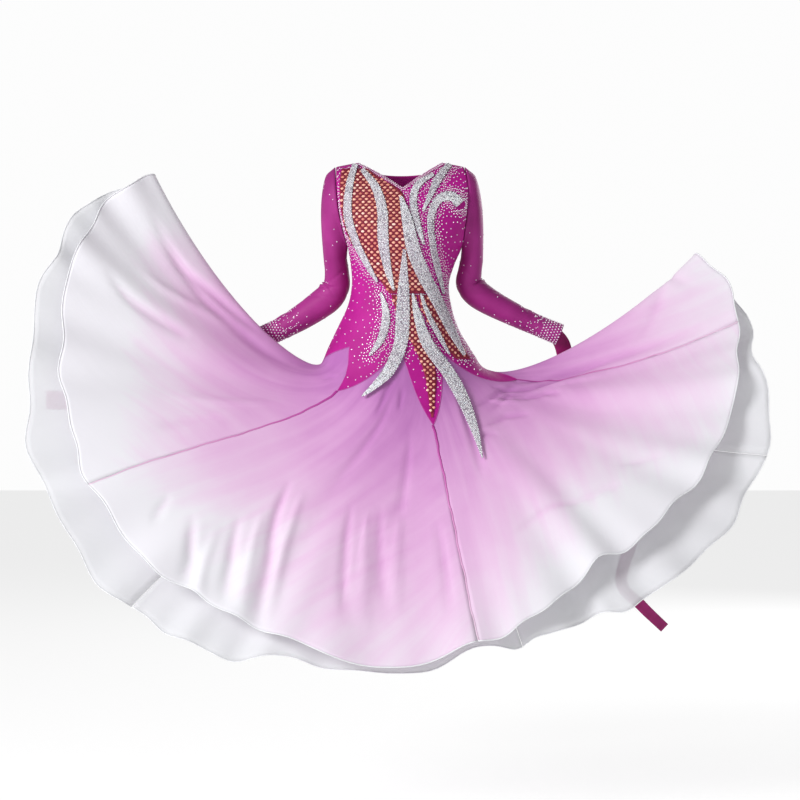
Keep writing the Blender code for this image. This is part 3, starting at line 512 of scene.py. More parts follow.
def organza_finish(name, stops, clear, streak):
    """Organza coloured by the value named dye (its dye, and on the outer skirt painted crease shade
    too), with faint streaks down the cloth that paint in its sheen.
    """
    finish = bpy.data.materials.new(name)
    tree, shader = nodes_of(finish)
    sheen_streaks = noise_at(tree, along_cloth(tree, (26.0, 2.6, 1.0)), 1.0, 7.0)
    blot = sum_of(tree, "MULTIPLY_ADD", noise_at(tree, place_of(tree), 5.5, 4.0), 0.34, -0.17)
    # Painted sheen: the streaks lighten and darken the colour down the cloth; the blots are uneven
    # dye.
    sheen_streaks_and_blots = sum_of(tree, "MULTIPLY_ADD", sheen_streaks, 0.26, blot)
    total = sum_of(tree, "ADD", named_value(tree, "dye"), sheen_streaks_and_blots)
    colour_by(tree, shader, total, stops).interpolation = "B_SPLINE"
    raise_by(tree, shader, sheen_streaks, streak, 0.002)
    fill(shader, {"Alpha": clear, "Roughness": 0.75, "Sheen Weight": 0.08,
                  "Specular IOR Level": 0.10})
    return finish


ORCHID_STOPS = (
    # share of the dyed length, colour
    (0.0, (0.42, 0.14, 0.42)), (0.20, (0.64, 0.27, 0.61)), (0.45, (0.79, 0.43, 0.74)),
    (0.68, (0.86, 0.61, 0.83)), (0.88, (0.87, 0.79, 0.89)), (1.0, (0.87, 0.87, 0.91)),
)
orchid_organza = organza_finish("ombre_organza", ORCHID_STOPS, 0.93, 0.25)
SKIRT_ROWS = 104
hem_lines, seam_lines = [], []
for node, start, end, count, wide, long, area in GORES:
    turns = np.unique(np.concatenate((np.linspace(start, end, count), [
        t for t in HIP_SEAM[:, 0] if start < t < end])))
    turns[0] += 0.03
    turns[-1] -= 0.03
    top = np.interp(turns, HIP_SEAM[:, 0], HIP_SEAM[:, 1]) + SEAM_GAP
    length = skirt_length(turns)
    share = (np.arange(SKIRT_ROWS + 1) / SKIRT_ROWS)[:, None] ** 1.25
    scallop = 0.004 * np.sin(np.radians(turns) * 27) + 0.003 * np.sin(np.radians(turns) * 47)
    drop = (top + (length + scallop - top) * share).ravel()
    way = np.tile(turns, SKIRT_ROWS + 1)
    crease = crease_height(base(way, drop), CREASES) * smooth(drop, 0.0, 0.05)
    level = np.repeat(share[:, 0], len(turns))
    # Painted shade: the crease troughs get a deeper orchid through the dye value, as if shade lay
    # in them.
    crease_shade = np.clip(crease, -0.010, 0.0) * 15.0
    round_hem = np.radians(way)
    crease += level ** 5 * (0.0045 * np.sin(round_hem * 31 + 0.8)
                            + 0.0035 * np.sin(round_hem * 53 + 2.1 * np.sin(round_hem * 5)))
    reach = np.interp(way, DYE_REACH[:, 0], DYE_REACH[:, 1])
    grid = cloth(way, drop, ORGANZA_WALL + crease).reshape(SKIRT_ROWS + 1, len(turns), 3)
    dye = np.clip(drop, 0.0, None) / np.tile(length, SKIRT_ROWS + 1) / reach
    dye += crease_shade - 0.13
    hem_lines.append((grid[-1], outward(turns, length)))
    seam_lines.append(grid[:, 0])
    piece = sheet_mesh(node + "_organza", grid, SHELL, [orchid_organza], {"dye": dye})
    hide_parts(node)
    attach(piece, "root")


# Underskirt: seven panels of undyed white organza hung inside the outer skirt. It is longer
# than the outer one in front, so it shows as a paler, greyer rim round the hem.
UNDERSKIRT = np.array((
    # turn, longer, inside
    (-84.0, -0.030, 0.020), (-72.0, 0.035, 0.028), (-58.0, 0.055, 0.034), (-44.0, 0.085, 0.045),
    (-35.0, 0.090, 0.050), (-20.0, 0.090, 0.055), (-8.0, 0.070, 0.055), (2.0, 0.000, 0.050),
    (14.0, 0.000, 0.050), (26.0, 0.045, 0.055), (38.0, 0.105, 0.060), (50.0, 0.105, 0.060),
    (60.0, 0.100, 0.055), (70.0, 0.060, 0.045), (80.0, 0.015, 0.030), (94.0, -0.020, 0.020),
    (120.0, -0.010, 0.030), (180.0, -0.010, 0.040), (240.0, -0.010, 0.030), (262.0, -0.020, 0.020),
))
PANELS = (
    # name, from, to, and the cut's hem width, length and area
    ("under_side_left", -80.0, -22.0, 1.24, 0.80, 0.44),
    ("under_front_left", -22.0, 20.0, 0.94, 0.86, 0.36),
    ("under_front_right", 20.0, 62.0, 0.79, 0.80, 0.28),
    ("under_side_right", 62.0, 130.0, 1.40, 0.72, 0.40),
    ("under_back_right", 130.0, 180.0, 0.73, 0.72, 0.27),
    ("under_back_left", 180.0, 230.0, 0.77, 0.72, 0.27),
    ("under_rear_left", 230.0, 280.0, 0.90, 0.68, 0.23),
)
WHITE_STOPS = (
    (0.0, (0.80, 0.72, 0.80)), (0.5, (0.82, 0.78, 0.83)), (1.0, (0.80, 0.81, 0.84)),
)
UNDER_ROWS = 72
UNDER_TOP, UNDER_NEAR, UNDER_CLEAR = -0.008, 0.0038, 0.009
white_organza = organza_finish("white_organza", WHITE_STOPS, 0.62, 0.3)
for node, start, end, wide, long, area in PANELS:
    turns = np.linspace(start + 0.03, end - 0.03, 64)
    values = round_table(UNDERSKIRT, turns)
    longer, inside = values[:, 0], values[:, 1]
    length = skirt_length(turns)
    share = np.repeat((np.arange(UNDER_ROWS + 1) / UNDER_ROWS) ** 1.3, len(turns))
    way = np.tile(turns, UNDER_ROWS + 1)
    full = np.tile(length, UNDER_ROWS + 1)
    scallop = 0.007 * np.sin(np.radians(way) * 23) + 0.006 * np.sin(np.radians(way) * 41 + 1.0)
    drop = UNDER_TOP + (full + np.tile(longer, UNDER_ROWS + 1) - UNDER_TOP + scallop) * share
    wave = 0.007 * share ** 3 * np.sin(np.radians(way) * 14)
    wave += 0.006 * share ** 4 * np.sin(np.radians(way) * 37 + 1.3)
    wave += 0.004 * share ** 8 * np.sin(np.radians(way) * 71 + 3.0 * np.sin(np.radians(way) * 4))
    near = UNDER_NEAR + (UNDER_CLEAR - UNDER_NEAR) * smooth(drop, UNDER_TOP, 0.03)
    deeper = np.tile(inside, UNDER_ROWS + 1) - UNDER_CLEAR
    depth = near + deeper * smooth(share, 0.0, 0.9) + wave
    height = np.where(drop > 0.0, fold_height(way, np.minimum(drop / full, 1.0)), 0.0)
    grid = base(way, drop) + (height - depth + ORGANZA_WALL)[:, None] * outward(way, drop)
    grid = grid.reshape(UNDER_ROWS + 1, len(turns), 3)
    hem_lines.append((grid[-1], outward(turns, length)))
    piece = sheet_mesh(node + "_organza", grid, SHELL, [white_organza], {"dye": share - 0.13})
    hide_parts(node)
    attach(piece, "root")


# Sleeves of sheer stretch mesh, set in at the armholes and cut close to the arm. They wrinkle
# at the bent elbow, and end in cuffs set thick with small stones.
SLEEVES = {
    "sleeve_left": (
        # x, y, z, radius in plane, radius across
        (-0.1525, 0.018, -0.232, 0.0260, 0.0420), (-0.149, 0.024, -0.262, 0.0270, 0.0400),
        (-0.150, 0.031, -0.293, 0.0300, 0.0380), (-0.166, 0.036, -0.319, 0.0330, 0.0370),
        (-0.193, 0.041, -0.341, 0.0320, 0.0350), (-0.237, 0.049, -0.370, 0.0285, 0.0310),
        (-0.285, 0.057, -0.396, 0.0250, 0.0280), (-0.324, 0.063, -0.414, 0.0245, 0.0275),
    ),
    "sleeve_right": (
        (0.1695, 0.018, -0.232, 0.0250, 0.0420), (0.1650, 0.024, -0.260, 0.0265, 0.0400),
        (0.163, 0.029, -0.288, 0.0295, 0.0380), (0.180, 0.033, -0.310, 0.0320, 0.0370),
        (0.210, 0.037, -0.331, 0.0300, 0.0350), (0.262, 0.043, -0.358, 0.0265, 0.0310),
        (0.320, 0.049, -0.385, 0.0235, 0.0270), (0.379, 0.054, -0.409, 0.0240, 0.0265),
    ),
}
ELBOW_CREASES = (
    # share of the sleeve, slant, half width, middle angle in degrees, spread, depth
    (0.30, 0.05, 0.010, 10.0, 70.0, -0.0022), (0.335, 0.03, 0.009, -10.0, 60.0, 0.0016),
    (0.365, -0.02, 0.010, 15.0, 65.0, -0.0026), (0.40, -0.06, 0.009, 0.0, 60.0, 0.0016),
    (0.435, -0.08, 0.011, 20.0, 60.0, -0.0018), (0.33, 0.06, 0.012, 180.0, 60.0, -0.0010),
    (0.52, -0.10, 0.012, 60.0, 60.0, -0.0010), (0.66, 0.08, 0.014, -60.0, 70.0, -0.0009),
    (0.80, 0.04, 0.010, 40.0, 80.0, -0.0010), (0.86, -0.05, 0.009, -40.0, 80.0, 0.0008),
    (0.12, 0.10, 0.016, -70.0, 60.0, -0.0012), (0.20, -0.08, 0.014, 90.0, 60.0, -0.0010),
)
SLEEVE_SIDES, SLEEVE_STATIONS, CAP_ROWS = 56, 96, 26
CAP_BULGE, CAP_RISE, SLEEVE_WALL = 0.021, 0.024, 0.0015
CREASE_GAIN, CAP_SHARE = 1.5, 0.21
CUFF_ROWS, CUFF_ROUND = 7, 22


def line_table(rows, share):
    """Smooth values of an open table read from 0 to 1 along its rows."""
    rows = np.array(rows, dtype=float)
    place = np.atleast_1d(share) * (len(rows) - 1)
    i = np.clip(place.astype(int), 0, len(rows) - 2)
    u = (place - i)[:, None]
    ends = np.concatenate(([2 * rows[0] - rows[1]], rows, [2 * rows[-1] - rows[-2]]))
    p0, p1, p2, p3 = ends[i], ends[i + 1], ends[i + 2], ends[i + 3]
    return 0.5 * (2 * p1 + (p2 - p0) * u + (2 * p0 - 5 * p1 + 4 * p2 - p3) * u ** 2
                  + (3 * p1 - p0 - 3 * p2 + p3) * u ** 3)


def grid_normals(grid, closed=False):
    """Outward directions at a grid's points."""
    wide = np.concatenate((grid[:, -1:], grid, grid[:, :1]), axis=1) if closed else grid
    across = np.gradient(wide, axis=1)
    across = across[:, 1:-1] if closed else across
    normal = np.cross(np.gradient(grid, axis=0), across)
    return normal / np.maximum(np.linalg.norm(normal, axis=2), 1e-9)[:, :, None]


def on_grid(grid, row, column, closed=False):
    """Points between a grid's own points, by row and column."""
    i = np.clip(np.floor(row).astype(int), 0, grid.shape[0] - 2)
    limit = grid.shape[1] if closed else grid.shape[1] - 1
    j = np.floor(column).astype(int) % limit if closed else \
        np.clip(np.floor(column).astype(int), 0, limit - 1)
    u, v = (row - i)[:, None], (column - np.floor(column))[:, None] if closed else \
        (column - j)[:, None]
    k = (j + 1) % grid.shape[1]
    return ((grid[i, j] * (1 - v) + grid[i, k] * v) * (1 - u)
            + (grid[i + 1, j] * (1 - v) + grid[i + 1, k] * v) * u)


def stone_setting(name, finish, centres, normals, wide, tall, high, sides, rng, turned=None):
    """Many small cut stones as one mesh: a girdle, a sloping crown and a flat table each."""
    count = len(centres)
    up = np.zeros((count, 3))
    up[:, 2] = 1.0
    right = np.cross(up, normals)
    right /= np.maximum(np.linalg.norm(right, axis=1), 1e-6)[:, None]
    above = np.cross(normals, right)
    spin = rng.uniform(0, 2 * math.pi, count) if turned is None else np.full(count, turned)
    lean = rng.normal(0.0, 0.10, (count, 2))
    wide, tall = np.broadcast_to(wide, count), np.broadcast_to(tall, count)
    rings = []
    for size, level in ((1.0, 0.0), (0.62, 1.0)):
        for k in range(sides):
            angle = 2 * math.pi * k / sides
            a, b = np.cos(angle + spin) * wide * size, np.sin(angle + spin) * tall * size
            lift = level * (high + lean[:, 0] * a + lean[:, 1] * b)
            rings.append(centres + right * a[:, None] + above * b[:, None]
                         + normals * lift[:, None])
    points = np.stack(rings, axis=1).reshape(-1, 3)
    faces = []
    for s in range(count):
        o = s * 2 * sides
        faces += [(o + k, o + (k + 1) % sides, o + sides + (k + 1) % sides, o + sides + k)
                  for k in range(sides)]
        faces.append(tuple(range(o + sides, o + 2 * sides)))
    mesh = bpy.data.meshes.new(name)
    mesh.from_pydata(points.tolist(), [], faces)
    # Painted glint: a random brightness for each stone, standing in for light caught by its facets.
    glint = mesh.attributes.new("glint", "FLOAT", "POINT")
    glint.data.foreach_set("value", np.repeat(rng.uniform(0, 1, count), 2 * sides)
                           .astype(np.float32))
    mesh.materials.append(finish)
    return placed(name, mesh)


def stone_finish(name, stops, metal, rough):
    """Foil-backed cut stones with painted glints: each a little lighter, darker or bluer than the
    next, as if catching the light.
    """
    finish = bpy.data.materials.new(name)
    tree, shader = nodes_of(finish)
    colour_by(tree, shader, named_value(tree, "glint"), stops)
    fill(shader, {"Metallic": metal, "Roughness": rough})
    return finish


def mesh_cloth_finish():
    """Fine power mesh: a paler magenta than the velvet, with an even knitted grain."""
    finish = bpy.data.materials.new("power_mesh")
    tree, shader = nodes_of(finish)
    knit = tree.nodes.new("ShaderNodeTexVoronoi")
    knit.inputs["Scale"].default_value = 1.0
    tree.links.new(along_cloth(tree, (700.0, 700.0, 1.0)), knit.inputs["Vector"])
    colour_by(tree, shader, noise_at(tree, place_of(tree), 9.0),
              ((0.3, (0.27, 0.014, 0.160)), (0.7, (0.39, 0.030, 0.245))))
    raise_by(tree, shader, knit.outputs["Distance"], 0.2, 0.0004)
    fill(shader, {"Roughness": 0.55, "Sheen Weight": 0.06, "Sheen Tint": (1.0, 0.6, 0.9, 1.0),
                  "Specular IOR Level": 0.2})
    return finish


power_mesh = mesh_cloth_finish()
pale_stone = stone_finish("pale_stone", (
    (0.0, (0.66, 0.52, 0.66)), (0.3, (0.88, 0.82, 0.90)), (0.7, (0.97, 0.95, 0.98)),
    (1.0, (1.0, 1.0, 1.0))), 0.05, 0.2)
rng = np.random.default_rng(31)
for node, side in (("sleeve_left", -1), ("sleeve_right", 1)):
    share = np.linspace(0.0, 1.0, SLEEVE_STATIONS)
    places = line_table(SLEEVES[node], share)
    ahead = np.gradient(places[:, :3], axis=0)
    ahead /= np.linalg.norm(ahead, axis=1)[:, None]
    front = np.array((0.0, -1.0, 0.0))
    outer = np.cross(front, ahead) * side
    outer /= np.linalg.norm(outer, axis=1)[:, None]
    angle = 2 * math.pi * np.arange(SLEEVE_SIDES) / SLEEVE_SIDES
    rings = (places[:, None, :3] + outer[:, None] * (places[:, 3:4] * np.cos(angle))[:, :, None]
             + front * (places[:, 4:5] * np.sin(angle))[:, :, None])
    edge = torso(np.full(SLEEVE_SIDES, 90.0 * side), UNDERARM * (1.0 - np.cos(angle)) / 2.0)
    edge[:, 1] = -ARMHOLE_DEPTH * np.sin(angle)
    edge[:, 0] += side * (SEAM_GAP + VELVET_WALL * 1.6)
    part = (np.arange(CAP_ROWS) / CAP_ROWS)[:, None, None]
    over = ((1.0 + np.cos(angle)) / 2.0)[None, :, None]
    cap = edge * (1.0 - part) + rings[0] * part
    cap[:, :, 0:1] += side * CAP_BULGE * np.sin(math.pi * part ** 0.7) * over
    cap[:, :, 2:3] += CAP_RISE * (1.0 - part) * over * smooth(part, 0.0, 0.22)
    grid = np.concatenate((cap, rings))
    if side > 0:
        grid = grid[:, ::-1]
        angle = angle[::-1]
    down = np.linspace(0.0, 1.0, len(grid))[:, None]
    crease = np.zeros(grid.shape[:2])
    for at, slant, half, middle, spread, depth in ELBOW_CREASES:
        off = (np.degrees(angle)[None] - middle + 180.0) % 360.0 - 180.0
        reach = (down - (CAP_SHARE + (1.0 - CAP_SHARE) * at) - slant * np.radians(off)) / half
        crease += CREASE_GAIN * depth * np.exp(-reach ** 2) * np.exp(-(off / spread) ** 2)
    normal = grid_normals(grid, closed=True)
    grid = grid + normal * (SLEEVE_WALL + crease * smooth(down, 0.0, 0.08))[:, :, None]
    piece = sheet_mesh(node + "_mesh", grid, SHELL, [power_mesh], closed=True)
    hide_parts(node)
    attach(piece, "root")
    rows, columns = len(grid), SLEEVE_SIDES
    from_end = np.concatenate(([0.0], np.cumsum(np.linalg.norm(np.diff(
        grid[::-1].mean(axis=1), axis=0), axis=1))))
    away = np.concatenate((
        np.repeat(0.0024 + np.arange(CUFF_ROWS) * 0.0068, CUFF_ROUND)
        + rng.normal(0.0, 0.0006, CUFF_ROWS * CUFF_ROUND),
        0.047 + np.abs(rng.normal(0.0, 0.030, 90)), rng.uniform(0.05, 0.42, 60)))
    row = rows - 1 - np.interp(away, from_end, np.arange(rows))
    column = np.tile(np.arange(CUFF_ROUND) * columns / CUFF_ROUND, CUFF_ROWS)
    column = column + np.repeat(np.arange(CUFF_ROWS) % 2, CUFF_ROUND) * columns / CUFF_ROUND / 2
    column = np.concatenate((column, rng.uniform(0, columns, 150)))
    centres = on_grid(grid, row, column, closed=True)
    facing = on_grid(grid_normals(grid, closed=True), row, column, closed=True)
    facing /= np.linalg.norm(facing, axis=1)[:, None]
    size = np.where(np.arange(len(row)) < CUFF_ROWS * CUFF_ROUND, 0.0019, 0.0014)
    piece = stone_setting(node + "_stones", pale_stone, centres, facing, size, size, 0.0011, 6, rng)
    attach(piece, "root")


# Coarse fishnet inset in the bodice: over the left shoulder and chest, at the right hip and
# down the middle front point. Dark red cords cross in diamonds, a salmon stone in each.
NETS = {
    "net_chest": (
        # z, left edge, right edge
        (-0.026, -0.136, -0.078), (-0.052, -0.139, -0.042), (-0.082, -0.138, 0.002),
        (-0.120, -0.134, 0.016), (-0.165, -0.124, 0.028), (-0.205, -0.106, 0.040),
        (-0.245, -0.076, 0.054), (-0.285, -0.046, 0.068), (-0.318, -0.024, 0.080),
    ),
    "net_hip": (
        (-0.321, 0.040, 0.084), (-0.355, 0.048, 0.098), (-0.395, 0.070, 0.118),
        (-0.435, 0.098, 0.140), (-0.470, 0.128, 0.162),
    ),
    "net_front_point": (
        (-0.321, -0.020, 0.037), (-0.360, -0.008, 0.042), (-0.410, 0.014, 0.054),
        (-0.460, 0.040, 0.072), (-0.510, 0.057, 0.083), (-0.560, 0.065, 0.080),
        (-0.605, 0.071, 0.076),
    ),
}
NET_CUTS = {
    # width, length and area of the cut in metres
    "net_chest": (0.190, 0.315, 0.044), "net_hip": (0.085, 0.175, 0.0088),
    "net_front_point": (0.095, 0.300, 0.0100),
}
LAID_GAP = 0.0012
MESH_WIDE, MESH_TALL, CORD = 0.0140, 0.0134, 0.0014


def find(x, z):
    """Directions and drops of the cloth's points that show at x, z from the front."""
    lean = np.clip((x - torso_size("centre", z)) / torso_size("half", z), -0.95, 0.95)
    turn, drop = np.degrees(np.arcsin(lean)), HIP_LINE - z
    for _ in range(9):
        here = cloth(turn, drop)
        by_turn = (cloth(turn + 0.3, drop) - here) / 0.3
        by_drop = (cloth(turn, drop + 0.002) - here) / 0.002
        miss_x, miss_z = x - here[:, 0], z - here[:, 2]
        area = by_turn[:, 0] * by_drop[:, 2] - by_drop[:, 0] * by_turn[:, 2]
        turn = turn + np.clip((miss_x * by_drop[:, 2] - by_drop[:, 0] * miss_z) / area, -15, 15)
        drop = drop + np.clip((by_turn[:, 0] * miss_z - by_turn[:, 2] * miss_x) / area, -0.1, 0.1)
    return turn, drop


def laid_grid(x, z, lift, free=0.0):
    """A grid of places in front view laid on the cloth, facing out, lifted by free lower down."""
    turn, drop = find(x.ravel(), z.ravel())
    grid = cloth(turn, drop, lift + free * smooth(drop, -0.05, 0.06)).reshape(x.shape + (3,))
    return grid[:, ::-1] if grid_normals(grid)[:, :, 1].mean() > 0 else grid


def cord_mesh(name, lines, radius, sides, finish, values=None, flat=1.0):
    """Cords along lines of points with the cloth's outward directions, as one mesh."""
    points, faces, numbers = [], [], []
    for n, (line, facing) in enumerate(lines):
        ahead = np.gradient(line, axis=0)
        ahead /= np.maximum(np.linalg.norm(ahead, axis=1), 1e-9)[:, None]
        side = np.cross(ahead, facing)
        side /= np.maximum(np.linalg.norm(side, axis=1), 1e-9)[:, None]
        top = np.cross(side, ahead)
        start = len(points)
        r = radius[n] if isinstance(radius, list) else np.full(len(line), radius)
        block = []
        for k in range(sides):
            angle = 2 * math.pi * (k + 0.5) / sides
            block.append(line + (side * math.cos(angle) + top * math.sin(angle) * flat)
                         * r[:, None])
        block = np.stack(block, axis=1)
        points += block.reshape(-1, 3).tolist()
        for i in range(len(line) - 1):
            a = start + i * sides
            faces += [(a + k, a + sides + k, a + sides + (k + 1) % sides, a + (k + 1) % sides)
                      for k in range(sides)]
        faces.append(tuple(start + k for k in range(sides)))
        last = start + (len(line) - 1) * sides
        faces.append(tuple(last + k for k in reversed(range(sides))))
        if values is not None:
            numbers.append(np.repeat(values[n], sides))
    mesh = bpy.data.meshes.new(name)
    mesh.from_pydata(points, [], faces)
    if values is not None:
        layer = mesh.attributes.new("dye", "FLOAT", "POINT")
        layer.data.foreach_set("value", np.concatenate(numbers).astype(np.float32))
    mesh.shade_smooth()
    mesh.materials.append(finish)
    return placed(name, mesh)


def plain_cloth(name, dark, light, scale, rough):
    """A plain dyed cloth or cord whose colour varies a little along it."""
    finish = bpy.data.materials.new(name)
    tree, shader = nodes_of(finish)
    cloud = noise_at(tree, place_of(tree), scale, 4.0)
    colour_by(tree, shader, cloud, ((0.32, dark), (0.68, light)))
    raise_by(tree, shader, cloud, 0.3, 0.0005)
    shader.inputs["Roughness"].default_value = rough
    return finish


def net_place(px, pz, edges, across, flipped):
    """Rows and columns of a net's grid at places in front view, and which lie inside it."""
    row = np.interp(-pz, -edges[:, 0], np.arange(len(edges)))
    left, right = (np.interp(row, np.arange(len(edges)), edges[:, k]) for k in (1, 2))
    share = (px - left) / (right - left)
    return row, (1.0 - share if flipped else share) * across, (share > 0.005) & (share < 0.995)


net_backing = plain_cloth("net_backing", (0.24, 0.008, 0.04), (0.36, 0.022, 0.07), 60.0, 0.8)
net_cord = plain_cloth("net_cord", (0.17, 0.003, 0.018), (0.26, 0.008, 0.035), 200.0, 0.6)
salmon_stone = stone_finish("salmon_stone", (
    (0.0, (0.66, 0.20, 0.15)), (0.4, (0.90, 0.40, 0.28)), (0.8, (1.0, 0.54, 0.40)),
    (1.0, (1.0, 0.74, 0.62))), 0.0, 0.55)
for node, table in NETS.items():
    down = int(round((table[0][0] - table[-1][0]) / 0.004))
    edges = line_table(table, np.linspace(0.0, 1.0, down + 1))
    across = max(int(round((edges[:, 2] - edges[:, 1]).max() / 0.005)), 4)
    part = np.linspace(0.0, 1.0, across + 1)[None]
    x = edges[:, 1:2] + (edges[:, 2:3] - edges[:, 1:2]) * part
    z = np.repeat(edges[:, :1], across + 1, axis=1)
    grid = laid_grid(x, z, VELVET_WALL + 1.25 * LAID_GAP + 0.0006)
    flipped = grid[0, 0, 0] > grid[0, -1, 0]
    piece = sheet_mesh(node + "_backing", grid, 0.0004, [net_backing])
    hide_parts(node)
    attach(piece, "root")
    wide, long, area = NET_CUTS[node]
    facing = grid_normals(grid)
    lines = []
    for sign in (-1.0, 1.0):
        for n in range(-60, 60):
            pz = np.arange(edges[0, 0] - 0.0005, edges[-1, 0] + 0.0005, -0.0028)
            px = MESH_WIDE * (n + 0.5 - sign * pz / MESH_TALL)
            row, column, inside = net_place(px, pz, edges, across, flipped)
            ends = np.flatnonzero(np.diff(np.concatenate(([0], inside.astype(int), [0]))))
            for first, last in zip(ends[::2], ends[1::2]):
                if last - first < 3:
                    continue
                pick = slice(first, last)
                out = on_grid(facing, row[pick], column[pick])
                lines.append((on_grid(grid, row[pick], column[pick])
                              + out * (0.0005 + 0.0003 * (sign > 0)), out))
    piece = cord_mesh(node + "_cords", lines, CORD, 4, net_cord)
    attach(piece, "root")
    i, j = np.meshgrid(np.arange(-20, 20), np.arange(-140, 2))
    px = (MESH_WIDE * (i + 0.5 * (j % 2))).ravel()
    pz = (MESH_TALL * 0.5 * j).ravel()
    keep = (pz < edges[0, 0] - 0.002) & (pz > edges[-1, 0] + 0.004)
    px, pz = px[keep], pz[keep]
    row, column, inside = net_place(px, pz, edges, across, flipped)
    row, column = row[inside], column[inside]
    centres = on_grid(grid, row, column)
    out = on_grid(facing, row, column)
    out /= np.linalg.norm(out, axis=1)[:, None]
    wide, tall = (0.0046, 0.0031) if node == "net_chest" else (0.0037, 0.0032)
    piece = stone_setting(node + "_stones", salmon_stone, centres + out * 0.0002, out,
                          wide * rng.uniform(0.85, 1.1, len(row)), tall, 0.0013, 8, rng,
                          turned=0.0)
    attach(piece, "root")


# Flowing bands of strip cloth, covered edge to edge with tiny foil-backed stones and sewn on
# the bodice. The two middle ones end in tails that hang free over the skirt.
BANDS = {
    "band_shoulder_left_outer": (
        # x, z, width
        (-0.104, -0.016, 0.013), (-0.116, -0.070, 0.017), (-0.117, -0.135, 0.018),
        (-0.099, -0.192, 0.016), (-0.076, -0.241, 0.014), (-0.050, -0.290, 0.006)),
    "band_shoulder_left_inner": (
        (-0.088, -0.030, 0.010), (-0.056, -0.074, 0.019), (-0.040, -0.130, 0.023),
        (-0.037, -0.195, 0.024), (-0.026, -0.262, 0.016), (-0.014, -0.310, 0.005)),
    "band_neck_centre": (
        (0.002, -0.096, 0.007), (0.016, -0.150, 0.024), (0.030, -0.215, 0.030),
        (0.056, -0.280, 0.030), (0.088, -0.345, 0.026), (0.118, -0.410, 0.019),
        (0.146, -0.462, 0.007)),
    "band_neck_right": (
        (0.078, -0.040, 0.008), (0.042, -0.066, 0.015), (0.030, -0.105, 0.017),
        (0.040, -0.160, 0.014), (0.054, -0.205, 0.006)),
    "band_shoulder_right": (
        (0.116, -0.012, 0.014), (0.086, -0.056, 0.018), (0.064, -0.104, 0.010),
        (0.052, -0.130, 0.005)),
    "band_armhole_right": (
        (0.137, -0.110, 0.023), (0.117, -0.092, 0.022), (0.088, -0.102, 0.019),
        (0.070, -0.145, 0.016), (0.074, -0.205, 0.015), (0.084, -0.252, 0.015),
        (0.093, -0.290, 0.010), (0.099, -0.318, 0.005)),
    "band_hip_left": (
        (-0.044, -0.315, 0.005), (-0.035, -0.345, 0.013), (-0.032, -0.380, 0.019),
        (-0.044, -0.425, 0.017), (-0.070, -0.462, 0.005)),
    "band_waist_right": (
        (0.046, -0.318, 0.005), (0.060, -0.360, 0.010), (0.084, -0.410, 0.012),
        (0.112, -0.460, 0.005)),
    "band_tail_left": (
        (0.010, -0.215, 0.006), (0.008, -0.290, 0.022), (0.006, -0.370, 0.031),
        (0.000, -0.440, 0.030), (-0.026, -0.500, 0.026), (-0.060, -0.538, 0.014),
        (-0.086, -0.560, 0.004)),
    "band_tail_right": (
        (0.028, -0.318, 0.005), (0.040, -0.374, 0.018), (0.062, -0.435, 0.027),
        (0.106, -0.500, 0.029), (0.142, -0.565, 0.027), (0.170, -0.635, 0.018),
        (0.188, -0.700, 0.004)),
}
BAND_OVER = {
    "band_shoulder_left_outer": 0.0038, "band_shoulder_left_inner": 0.0038,
    "band_neck_centre": 0.0038, "band_neck_right": 0.0012, "band_shoulder_right": 0.0012,
    "band_armhole_right": 0.0012, "band_hip_left": 0.0009, "band_waist_right": 0.0034,
    "band_tail_left": 0.0037, "band_tail_right": 0.0034,
}
BAND_CUTS = {
    # width, length and area of the cut in metres
    "band_shoulder_left_outer": (0.022, 0.305, 0.0062),
    "band_shoulder_left_inner": (0.025, 0.310, 0.0064),
    "band_neck_centre": (0.032, 0.415, 0.0120), "band_neck_right": (0.018, 0.200, 0.0030),
    "band_shoulder_right": (0.020, 0.142, 0.0026), "band_armhole_right": (0.025, 0.300, 0.0058),
    "band_hip_left": (0.020, 0.166, 0.0023), "band_waist_right": (0.013, 0.165, 0.0017),
    "band_tail_left": (0.033, 0.395, 0.0088), "band_tail_right": (0.031, 0.440, 0.0102),
}
TAIL_LIFT, BAND_STONE = 0.0045, 0.0034
band_cloth = plain_cloth("band_cloth", (0.20, 0.14, 0.20), (0.38, 0.31, 0.38), 300.0, 0.5)
crystal = stone_finish("crystal", (
    (0.0, (0.30, 0.30, 0.32)), (0.16, (0.66, 0.68, 0.71)), (0.36, (0.92, 0.95, 0.96)),
    (0.7, (1.0, 1.0, 1.0)), (0.86, (0.86, 0.97, 1.0)), (1.0, (1.0, 0.96, 1.0))), 0.0, 0.2)
band_lines = []
